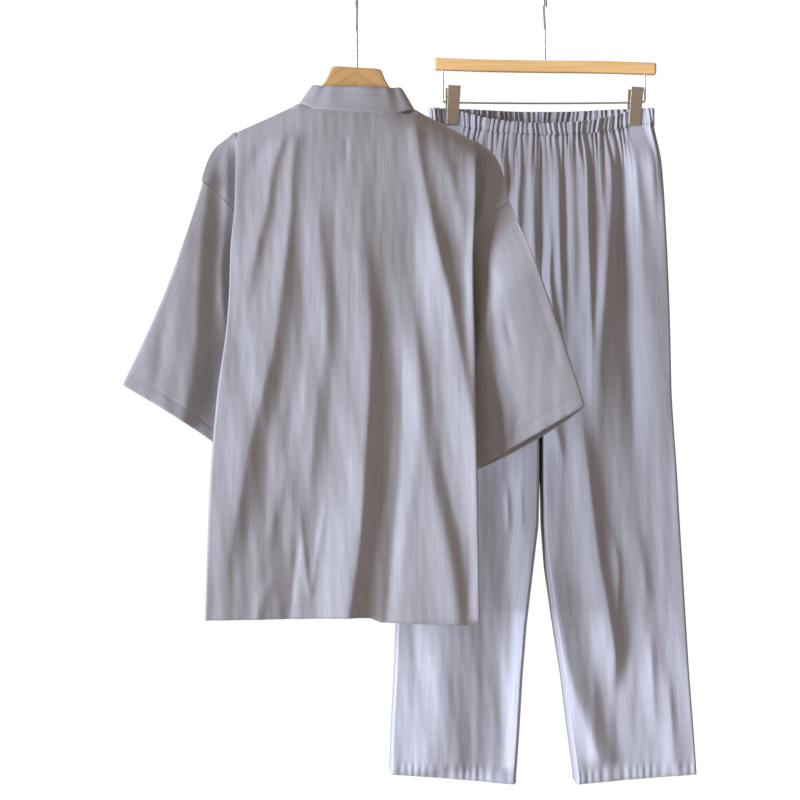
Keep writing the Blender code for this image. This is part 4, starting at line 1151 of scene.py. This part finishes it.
def bar_rings():
    """Sections along the bar between its top and bottom edges, with rounded ends."""
    share = (1 - np.cos(np.linspace(0, math.pi, 61))) / 2
    share = np.concatenate([np.linspace(0, 1, 41)[1:-1], share[:8], share[-8:]])
    share = np.unique(np.round(share, 5))
    x = BAR_X[0] + (BAR_X[1] - BAR_X[0]) * share
    top = smooth(x, *zip(*BAR_TOP))
    end = np.minimum(x - BAR_X[0], BAR_X[1] - x)
    shrink = 3.2 * (1 - np.sqrt(1 - (1 - np.clip(end / 3.2, 0, 1)) ** 2))
    rings = []
    for x_here, top_here, cut in zip(x, top, shrink):
        high = np.array([x_here, TROUSERS_Y, top_here - cut])
        low = np.array([x_here, TROUSERS_Y, top_here - BAR_HEIGHT + cut])
        rings.append(rounded_section(low, high, BAR_HALF_DEPTH - cut * 0.8, 0.36, 32))
    return np.stack(rings)


bar = solid("clip_hanger_bar", bar_rings(), wood_material("beech bar", math.radians(1.0)))
place_piece(bar, "trousers_hanger_bar")


# The clip hanger's hook and its frame: the same 3 mm wire. The frame drops out of the bar near each end,
# bends round, and runs level under the bar, where both clips ride on it.
TROUSERS_HOOK = (271.8, TROUSERS_Y, 24)
TROUSERS_HOOK_FOOT = -83
FRAME_X = (122.9, 417.7)
FRAME_Z = -142.7
FRAME_BEND = 5
FRAME_SAG = 1.2


def frame_path():
    """Down from the bar, a quarter circle, along with a slight sag, a quarter circle, and up again."""
    low, high = FRAME_X
    tops = np.interp(FRAME_X, *zip(*BAR_TOP)) - BAR_HEIGHT + 2
    turn = np.linspace(0, math.pi / 2, 9)
    bend_x, bend_z = FRAME_BEND * (1 - np.cos(turn)), FRAME_BEND * (1 - np.sin(turn))
    first = [(low, z) for z in np.linspace(tops[0], FRAME_Z + FRAME_BEND, 12)[:-1]]
    across = np.linspace(low + FRAME_BEND, high - FRAME_BEND, 50)[1:-1]
    share = (across - low) / (high - low)
    sag = [(x, FRAME_Z - FRAME_SAG * math.sin(math.pi * s)) for x, s in zip(across, share)]
    last = [(high, z) for z in np.linspace(FRAME_Z + FRAME_BEND, tops[1], 12)[1:]]
    left = list(zip(low + bend_x, FRAME_Z + bend_z))
    right = list(zip(high - bend_x, FRAME_Z + bend_z))[::-1]
    return np.array([(x, TROUSERS_Y, z) for x, z in first + left + sag + right + last])


trousers_hook = solid(
    "clip_hanger_hook",
    wire_rings(hook_path(TROUSERS_HOOK_FOOT, TROUSERS_HOOK), WIRE_RADIUS, (1, 0, 0)),
    wire_material,
)
frame_material = metal_material("nickel frame wire", NICKEL, 0.28, (40, 900, 900), 0.2)
clip_frame = solid("clip_hanger_frame", wire_rings(frame_path(), 1.35, (0, 1, 0)), frame_material)
for piece, node in ((trousers_hook, "trousers_hanger_hook"), (clip_frame, "trousers_hanger_frame")):
    place_piece(piece, node)


# The two clips: each is bent from strips of champagne-coloured steel. A long plate in front and a shorter
# one behind grip the waistband, a spring pushes them together, and an ear on each side holds the wire.
CLIP_X = (138.3, 404.5)
CLIP_TOP = (-118.6, -121)
CLIP_FOOT = (-177, -177.5)
CLIP_LEAN = (math.radians(2.6), math.radians(4.6))
CLIP_WIDTH = (18.6, 18.2)
CLIP_STEEL = 1.1
CHAMPAGNE = (0.60, 0.50, 0.375)
PINCH = 2.6
CLIP_INNER = PINCH + 2.0
clip_material = metal_material("champagne clip steel", CHAMPAGNE, 0.42, (60, 900, 700), 0.25)


def bent_strip(name, profile, width, thick, place, lean, material):
    """A strip of sheet metal: a profile (y, z) swept to its width, given its thickness and round edges,
    leaned about the wire that it hangs on, and put in its place along x."""
    profile = np.asarray(profile, float)
    knots = length_along(profile)
    fine = np.linspace(0, knots[-1], 40)
    y, z = (np.interp(fine, knots, profile[:, i]) for i in (0, 1))
    taper = 1 - 0.10 * ((z.max() - z) / (z.max() - z.min()))
    half = np.array([-0.5, -0.46, -0.25, 0, 0.25, 0.46, 0.5]) * width
    x = half[None, :] * taper[:, None]
    y = np.repeat(y[:, None], 7, axis=1)
    z = np.repeat(z[:, None], 7, axis=1)
    turned_x = place + x * math.cos(lean) + (z - FRAME_Z) * math.sin(lean)
    turned_z = FRAME_Z + (z - FRAME_Z) * math.cos(lean) - x * math.sin(lean)
    points = np.stack([turned_x, TROUSERS_Y + y, turned_z], axis=-1)
    piece = add_piece(name, cloth_mesh(name, points), material)
    wall = piece.modifiers.new("steel", "SOLIDIFY")
    wall.thickness = thick * MM
    wall.offset = 0
    edges = piece.modifiers.new("edges", "BEVEL")
    edges.width = 0.3 * MM
    edges.segments = 2
    return piece


def ear_rings(ear_x):
    """A clip's ear: a rounded plate across x, a little smaller at its two faces."""
    corner = np.linspace(0, 2 * math.pi, 28, endpoint=False)
    up = np.sign(np.sin(corner)) * np.abs(np.sin(corner)) ** 0.6 * 5.4
    deep = np.sign(np.cos(corner)) * np.abs(np.cos(corner)) ** 0.6 * (CLIP_INNER + 0.2)
    rings = []
    for inset, shrink in ((-0.5, 0.94), (-0.35, 1), (0.35, 1), (0.5, 0.94)):
        x = np.full(28, ear_x + inset)
        rings.append(np.stack([x, TROUSERS_Y + deep * shrink, FRAME_Z + 0.6 + up * shrink], axis=-1))
    return np.stack(rings)


def spring_rings(place):
    """A clip's spring: five coils of wire round the frame's own wire, along x."""
    turn = np.linspace(0, 5 * 2 * math.pi, 150)
    outward = np.stack([0 * turn, np.cos(turn), np.sin(turn)], axis=-1)
    x = place + np.linspace(-5.2, 5.2, 150)
    coil = np.stack([x, TROUSERS_Y + 3.1 * np.cos(turn), FRAME_Z - 0.4 + 3.1 * np.sin(turn)], axis=-1)
    along = np.gradient(coil, axis=0)
    along /= np.linalg.norm(along, axis=1)[:, None]
    third = np.cross(along, outward)
    angle = np.linspace(0, 2 * math.pi, 8, endpoint=False)[None, :, None]
    return coil[:, None] + 0.55 * (np.cos(angle) * outward[:, None] + np.sin(angle) * third[:, None])


for i, side in enumerate(("left", "right")):
    place, lean, width = CLIP_X[i], CLIP_LEAN[i], CLIP_WIDTH[i]
    top, foot = CLIP_TOP[i], CLIP_FOOT[i]
    inner = CLIP_INNER
    plate_profile = (
        (-inner - 2.4, top), (-inner - 2.2, top - 6), (-inner - 0.8, top - 14),
        (-inner - 0.4, foot + 12), (-inner, foot + 3), (-inner + 1.6, foot),
    )
    jaw_profile = (
        (inner + 3.0, top - 2), (inner + 2.2, top - 8), (inner + 0.6, top - 16),
        (inner + 0.3, foot + 14), (inner, foot + 6), (inner - 1.6, foot + 3),
    )
    plate = bent_strip(
        f"clip_front_plate_{side}", plate_profile, width, CLIP_STEEL, place, lean, clip_material
    )
    jaw = bent_strip(
        f"clip_rear_jaw_{side}", jaw_profile, width + 0.8, CLIP_STEEL, place - 2.6, lean, clip_material
    )
    ears = [
        solid(f"clip_ear_{side}_{letter}", ear_rings(place + away * (width / 2 - 2.6)), clip_material)
        for away, letter in ((-1, "a"), (1, "b"))
    ]
    spring = solid(f"clip_spring_{side}", spring_rings(place), wire_material)
    place_piece(plate, f"clip_{side}")
    for piece in (jaw, *ears):
        place_piece(piece)
    place_piece(spring)


# The waistband: a casing of the trousers' cloth round a flat elastic, so the whole ring is gathered into
# narrow uneven pleats. The clips pinch it near both ends, and it sags and opens between them.
BAND_HEIGHT = 24.5
BAND_TOP_Z = -151
BAND_WAVES = 40
WAVE_POINTS = 13
GATHER_RISE = 3.6
NEAR_DIP = 18
FAR_DIP = 1
LIP_DIP = 6.5
WAIST_X = (102, 431.5)
WAIST_BOW = 23
CLIP_GRIP = 20
CASING = 2.4
TROUSER_COLOUR = (0.39, 0.362, 0.372)
trouser_cloth = cloth_material("lavender trouser cloth", TROUSER_COLOUR)
trouser_thread = thread_material("trouser thread", TROUSER_COLOUR)


def waist_bow(x):
    """Half the distance between the waist's near and far layers: pinched in the clips, bowed between."""
    beyond = CLIP_GRIP / 2 + 2
    inner = ease((x - CLIP_X[0] - beyond) / 100) * ease((CLIP_X[1] - beyond - x) / 100)
    low = np.clip((CLIP_X[0] - beyond - x) / (CLIP_X[0] - beyond - WAIST_X[0]), 0, 1)
    high = np.clip((x - CLIP_X[1] - beyond) / (WAIST_X[1] - CLIP_X[1] - beyond), 0, 1)
    outer = low + high
    loops = np.where(outer > 0, 6 * np.sin(math.pi * np.clip(outer, 0, 1) ** 1.6) ** 0.8, 0)
    return PINCH + (WAIST_BOW - PINCH) * inner + loops


def waist_dip(x, drop):
    """How far the waist sags between its clips: a parabola."""
    middle = sum(CLIP_X) / 2
    half = (CLIP_X[1] - CLIP_X[0]) / 2
    return drop * np.clip(1 - ((x - middle) / half) ** 2, 0, 1)


def free_of_clips(x):
    """1 where the band is free to pleat, 0 where a clip or the ring's end presses it flat."""
    away = np.minimum(np.abs(x - CLIP_X[0]), np.abs(x - CLIP_X[1])) - CLIP_GRIP / 2 - 1
    ends = np.minimum(x - WAIST_X[0], WAIST_X[1] - x)
    return ease(away / 4) * ease((ends - 1) / 5)


def gather(x, far):
    """How far the pleats stand out: rounded crests and narrow valleys, uneven in width and height, and
    flat for a few millimetres at the centre seam."""
    share = (x - WAIST_X[0]) / (WAIST_X[1] - WAIST_X[0])
    lean = far * 1.7
    turns = BAND_WAVES * share + 0.15 * np.sin(share * 47 + lean) + 0.16 * np.sin(share * 101 + 2 * lean)
    crest = np.abs(np.cos(math.pi * turns)) ** 0.95 * 2 - 1.1
    crest = crest + 0.22 * np.sin(4 * math.pi * turns + share * 60)
    uneven = 0.78 + 0.3 * np.sin(share * 71 + 1.1 + lean) + 0.16 * np.sin(share * 163 + lean)
    seam = 1 - 0.8 * np.exp(-(((x - 266.5) / 5) ** 2))
    return GATHER_RISE * crest * uneven * seam * free_of_clips(x)


def waistband_rows():
    """The casing, level by level: up its outer side, round its top fold, and down its inner side; round
    each level, the near layer from low x to high x and the far layer back."""
    half = BAND_WAVES * WAVE_POINTS
    share = (np.arange(half) + 0.5) / half
    low, high = WAIST_X
    x_near = low + (high - low) * share
    outer = [(0.0, level) for level in np.linspace(1, 0.06, 9)]
    fold = [((1 - math.cos(t)) / 2, 0.06 - 0.05 * math.sin(t)) for t in np.linspace(0.5, math.pi - 0.5, 4)]
    inner = [(1.0, level) for level in np.linspace(0.06, 1, 7)]
    rows = []
    for inside, level in outer + fold + inner:
        ring = []
        for x, sign, drop in ((x_near, -1, NEAR_DIP), (x_near[::-1], 1, FAR_DIP)):
            ends = np.clip(np.minimum(x - low, high - x) / 5, 0, 1)
            round_end = np.sqrt(1 - (1 - ends) ** 2)
            bow = (waist_bow(x) - CASING * (inside - 0.5) * round_end) * round_end
            swell = 1 - 0.35 * math.sin(math.pi * level)
            slant = x + 3.4 * np.sin(x / 23 + sign) * (level - 0.5)
            wave = gather(slant, sign) * swell
            bob = 0.5 * gather(slant, sign) * (1 - level) / GATHER_RISE
            dip = waist_dip(x, drop + LIP_DIP * (1 - level) * (sign < 0))
            z = BAND_TOP_Z - dip - BAND_HEIGHT * level + bob - 0.8
            seam = 1.6 * math.exp(-(((level - 0.95) / 0.06) ** 2))
            y = TROUSERS_Y + sign * (bow - seam * (1 - inside)) + sign * wave
            ring.append(np.stack([x, y, z], axis=-1))
        rows.append(np.concatenate(ring))
    return np.stack(rows)


waist_rows = waistband_rows()
waist_casing = cloth("waist_casing", waist_rows, trouser_cloth, around=True, wall=0.7)
half_way = BAND_WAVES * WAVE_POINTS
seam_ring = waist_rows[1]
near_line = seam_ring[6 : half_way - 6] + (0, -0.5, 0)
far_line = seam_ring[half_way + 6 : -6] + (0, 0.5, 0)
near_seam = stitches("waist_seam_near", near_line, (0, -1, 0), trouser_thread, 3.0, 1.9)
far_seam = stitches("waist_seam_far", far_line, (0, 1, 0), trouser_thread, 3.0, 1.9)
place_piece(waist_casing, "waistband")
for row in (near_seam, far_seam):
    place_piece(row)


# The trousers' four leg panels: gathered into the waistband, sewn together at the sides, the inseams and
# the centre seams, and hemmed. The gathers run out below the waist into a few long soft folds.
LEG_COLUMNS = ("z", "out_low_x", "in_low_x", "in_high_x", "out_high_x", "depth")
LEGS = (
    (-177, 103.5, 263.6, 263.6, 430.5, 23),
    (-215, 94, 263.6, 263.6, 438, 31),
    (-260, 90, 263.6, 263.6, 442, 36),
    (-320, 86, 263.6, 263.6, 445.5, 39),
    (-425, 81, 263.6, 263.6, 450, 41),
    (-505, 79, 263.3, 263.8, 452, 42),
    (-556, 77, 263.2, 263.9, 453, 42),
    (-688, 69, 263.0, 264.1, 461.5, 42),
    (-757, 65, 261.6, 265.4, 465.5, 41),
    (-819, 60, 254.3, 270, 469.5, 40),
    (-902, 54, 244.5, 282, 474.5, 40),
    (-976, 51, 238.5, 293.7, 479, 41),
    (-1055, 47, 233.8, 303.5, 485, 42),
    (-1122, 44.5, 229, 312.5, 489.5, 43),
)
CROTCH_Z = -505
SEAT_Z = -395
SEAM_DIP = 0.9
LEG_HEM = 17
LEG_HOLLOW = 5
LEG_DEPTH = 42
LEG_FOLD_RISE = 1.45
LEG_LEAST = 0.43
HEM_HIGH = 8
HEM_LOW = 7
TOPSTITCH_X = 268.2
INSEAM_ALLOWANCE = 8
NEAR_FOLDS = (
    (((204, -185), (209, -246), (210, -310)), 7, 6, 1.6, 6.0, 0.1, 0.4),
    (((232, -188), (232, -246), (229, -289), (232, -378)), 6.5, 6, 1.6, 4.5, 0.1, 0.4),
    (((252, -191), (253, -246), (253, -346), (258, -433)), 11.5, 6, 1.6, 6.0, 0.1, 0.35),
    (((272, -289), (276, -346), (275, -404), (283, -476), (289, -548)), 8.5, 4.5, 1.5, 5.5, 0.4, 0.3),
    (((286, -191), (288, -246), (288, -289), (291, -404), (299, -505)), 11.5, 4.5, 1.5, 7.0, 0.1, 0.4),
    (((305, -191), (307, -246), (309, -354), (312, -476)), 10, 8.5, 1.7, 4.5, 0.1, 0.5),
    (((327, -188), (328, -246), (330, -346), (332, -404), (337, -577)), 13, 6, 1.5, 8.0, 0.1, 0.4),
    (((347, -188), (348, -246), (353, -325)), 8.5, 5, 1.6, 3.5, 0.15, 0.5),
    (
        ((364, -188), (366, -246), (360, -346), (355, -404), (348, -490), (344, -692)),
        13, 14, 1.7, 8.0, 0.1, 0.4,
    ),
    (
        ((377, -188), (379, -274), (383, -375), (391, -476), (397, -577), (394, -721)),
        19, 17, 1.7, -11.0, 0.1, 0.35,
    ),
    (((397, -188), (400, -246), (403, -296), (410, -375)), 11.5, 7, 1.6, 4.5, 0.15, 0.5),
    (((420, -195), (423, -253), (427, -318)), 10, 7, 1.6, 3.0, 0.2, 0.5),
    (((273, -584), (285, -623), (295, -678)), 13, 7, 1.5, 4.5, 0.3, 0.5),
    (
        ((314, -534), (322, -620), (334, -721), (345, -807), (358, -879), (367, -937), (368, -1009)),
        26, 11.5, 1.6, 10.0, 0.3, 0.2,
    ),
    (
        ((270, -764), (278, -850), (285, -894), (307, -980), (338, -1067), (351, -1107)),
        16, 23, 1.7, 7.0, 0.3, 0.05,
    ),
    (((357, -747), (373, -807), (373, -865), (368, -930)), 13, 7, 1.5, 4.0, 0.4, 0.4),
    (((397, -735), (407, -807), (420, -894)), 13, 10, 1.6, 3.0, 0.4, 0.4),
    (((419, -865), (423, -980), (430, -1074)), 11.5, 7, 1.6, 2.2, 0.4, 0.3),
    (((443, -951), (452, -1067), (456, -1117)), 11.5, 7, 1.6, 2.0, 0.4, 0.1),
    (((124, -606), (126, -807), (119, -1009), (109, -1117)), 37, 43, 1.8, 7.0, 0.2, 0.02),
    (((216, -620), (217, -807), (214, -980), (207, -1117)), 43, 20, 1.8, -8.0, 0.2, 0.02),
    (((214, -692), (216, -728), (217, -778)), 4.5, 4.5, 1.5, 2.4, 0.4, 0.4),
    (((232, -678), (234, -721), (236, -778)), 5, 4.5, 1.5, 2.2, 0.4, 0.4),
    (((172, -186), (162, -300), (152, -480)), 12, 9, 1.6, 4.5, 0.1, 0.5),
    (((130, -190), (118, -320), (110, -520)), 9, 9, 1.6, -4.0, 0.1, 0.5),
)
FAR_FOLDS = (
    (((150, -186), (142, -320), (132, -520)), 10, 10, 1.6, 4.5, 0.1, 0.5),
    (((186, -186), (180, -300), (176, -480)), 8, 9, 1.6, -4.0, 0.1, 0.5),
    (((214, -186), (212, -320), (206, -560)), 9, 8, 1.6, 4.5, 0.1, 0.5),
    (((240, -186), (242, -260), (244, -360)), 6, 6, 1.6, -3.0, 0.1, 0.5),
    (((292, -186), (294, -300), (300, -450)), 8, 8, 1.6, 4.0, 0.1, 0.5),
    (((322, -186), (328, -300), (332, -440)), 7, 8, 1.6, -4.5, 0.1, 0.5),
    (((352, -186), (360, -320), (372, -560)), 10, 11, 1.6, 5.0, 0.1, 0.5),
    (((390, -190), (404, -320), (416, -500)), 9, 9, 1.6, -4.0, 0.1, 0.5),
    (((118, -560), (124, -760), (116, -1000), (108, -1140)), 20, 24, 1.8, 6.0, 0.2, 0.02),
    (((170, -600), (176, -800), (168, -1140)), 18, 14, 1.7, -5.0, 0.2, 0.02),
    (((212, -620), (214, -820), (206, -1140)), 10, 12, 1.7, 4.0, 0.2, 0.02),
    (((316, -600), (334, -800), (356, -1140)), 12, 14, 1.7, 5.0, 0.2, 0.02),
    (((368, -560), (378, -780), (398, -1140)), 16, 14, 1.7, -5.5, 0.2, 0.02),
    (((414, -620), (430, -850), (446, -1140)), 14, 14, 1.7, 5.0, 0.2, 0.02),
)
PANEL_COLUMNS = ("part", "side", "sign", "out", "inner", "columns", "rows")
LEG_PANELS = (
    ("front", "left", -1, "out_high_x", "in_high_x", 150, 168),
    ("front", "right", -1, "out_low_x", "in_low_x", 150, 168),
    ("back", "left", 1, "out_high_x", "in_high_x", 120, 110),
    ("back", "right", 1, "out_low_x", "in_low_x", 120, 110),
)


def rounded(t):
    """A quarter circle: 0 at 0, level from 1 on."""
    return np.sqrt(1 - (1 - np.clip(t, 0, 1)) ** 2)


def leg_points(sign, out, inner, columns, rows):
    """A leg panel, row by row from the waistband's seam. Its depth from the trousers' middle plane is the
    waist's bow at the top, a lens over each leg below, and one round curve over both at the seat."""
    leg = {name: np.array([row[i] for row in LEGS], float) for i, name in enumerate(LEG_COLUMNS)}
    drop = NEAR_DIP if sign < 0 else FAR_DIP
    share = np.linspace(0, 1, columns)[None, :]
    x_top = leg[out][0] + (leg[inner][0] - leg[out][0]) * share
    top = BAND_TOP_Z - BAND_HEIGHT + 1.5 - waist_dip(x_top, drop)
    level = np.linspace(0, 1, rows)[:, None] ** 1.15
    z = top + (leg["z"][-1] - top) * level + (HEM_HIGH - (HEM_HIGH + HEM_LOW) * share) * level**5
    outer = smooth(-z, -leg["z"], leg[out])
    seam_open = ease((z - CROTCH_Z + 3) / 12)
    centre = np.interp(-z, -leg["z"], leg[inner])
    x = outer + (centre - outer) * share
    depth = smooth(-z, -leg["z"], leg["depth"])
    seat = ease((z - CROTCH_Z - 5) / (SEAT_Z - CROTCH_Z))
    rise = np.sqrt(1 - (1 - np.minimum(share * (30 if sign < 0 else 2.4), 1)) ** 2.2)
    arch = np.sin(math.pi * share) ** 0.62
    if sign < 0:
        hollow = LEG_HOLLOW / LEG_DEPTH * np.sin(math.pi * share)
        arch = rounded(share * 40) * rounded((1 - share) * 28) - hollow
    lens = depth * (seat * rise + (1 - seat) * arch)
    hung = ease((top - z) / 70)
    bow = waist_bow(x_top) * np.sqrt(1 - (1 - np.minimum(share * 18, 1)) ** 2)
    lens = bow + (lens - bow) * hung
    edge = ease(share * 30) * ease((1 - share) * 30 + seat)
    rows_of_folds = NEAR_FOLDS if sign < 0 else FAR_FOLDS
    creases = folds(x, z, rows_of_folds) * LEG_FOLD_RISE + ripples(x + 300 * sign, z - 260) * 0.9
    lens = lens + creases * edge * hung
    below = top - z
    fine = gather(x_top + 1.2 * np.sin(below / 19 + x_top / 7), sign) * np.exp(-below / 32)
    fine = fine * (1 - 0.4 * ease(below / 8) + 0.4 * ease(below / 20))
    wide = gather(x_top * 0.62 + 96, sign) * np.exp(-below / 70) * ease(below / 30)
    wide = wide * (0.9 if sign > 0 else 0.6) * free_of_clips(x_top)
    lens = lens + (fine + wide) * edge
    lens = lens - SEAM_DIP * 1.6 * np.exp(-(((x - centre) / 1.8) ** 2)) * seam_open
    if sign < 0:
        lens = lens - 0.5 * np.exp(-(((x - TOPSTITCH_X) / 0.9) ** 2)) * ease((z + 450) / 30)
        allowance = np.abs(x - centre) - INSEAM_ALLOWANCE
        lens = lens - 0.55 * np.exp(-((allowance / 0.9) ** 2)) * ease((CROTCH_Z - 10 - z) / 30)
    lens = lens - hem_pull(z - z[-1])
    pucker = 0.7 * np.sin(x / 1.9 + 2 * np.sin(x / 13)) * np.exp(-(((z - z[-1] - LEG_HEM / 2) / 8) ** 2))
    lens = np.maximum(lens + pucker, LEG_LEAST)
    return np.stack([x, TROUSERS_Y + sign * lens, z], axis=-1)


for part, side, sign, out, inner, columns, rows in LEG_PANELS:
    grid = leg_points(sign, out, inner, columns, rows)
    hem_rows = 4 if sign < 0 else 3
    panel = cloth(f"leg_{part}_{side}", turn_up(grid, (0, -sign, 0), hem_rows), trouser_cloth)
    line = grid[-hem_rows, 3:-3] + (0, sign * STITCH_OUT, 0)
    hem = stitches(f"leg_hem_stitches_{part}_{side}", line, (0, sign, 0), trouser_thread)
    place_piece(panel, f"trousers_{part}_{side}")
    place_piece(hem)


# The second window light is for the trousers and their hanger, which hang in the jacket's shadow: only they
# are lit by it, and only they cast shadows in it.
trouser_pieces = bpy.data.collections.new("trousers in the second window light")
for piece in scene.objects:
    if piece.name.startswith(("clip_", "waist_", "leg_")):
        trouser_pieces.objects.link(piece)
second_window = bpy.data.objects["second window light"]
second_window.light_linking.receiver_collection = trouser_pieces
second_window.light_linking.blocker_collection = trouser_pieces
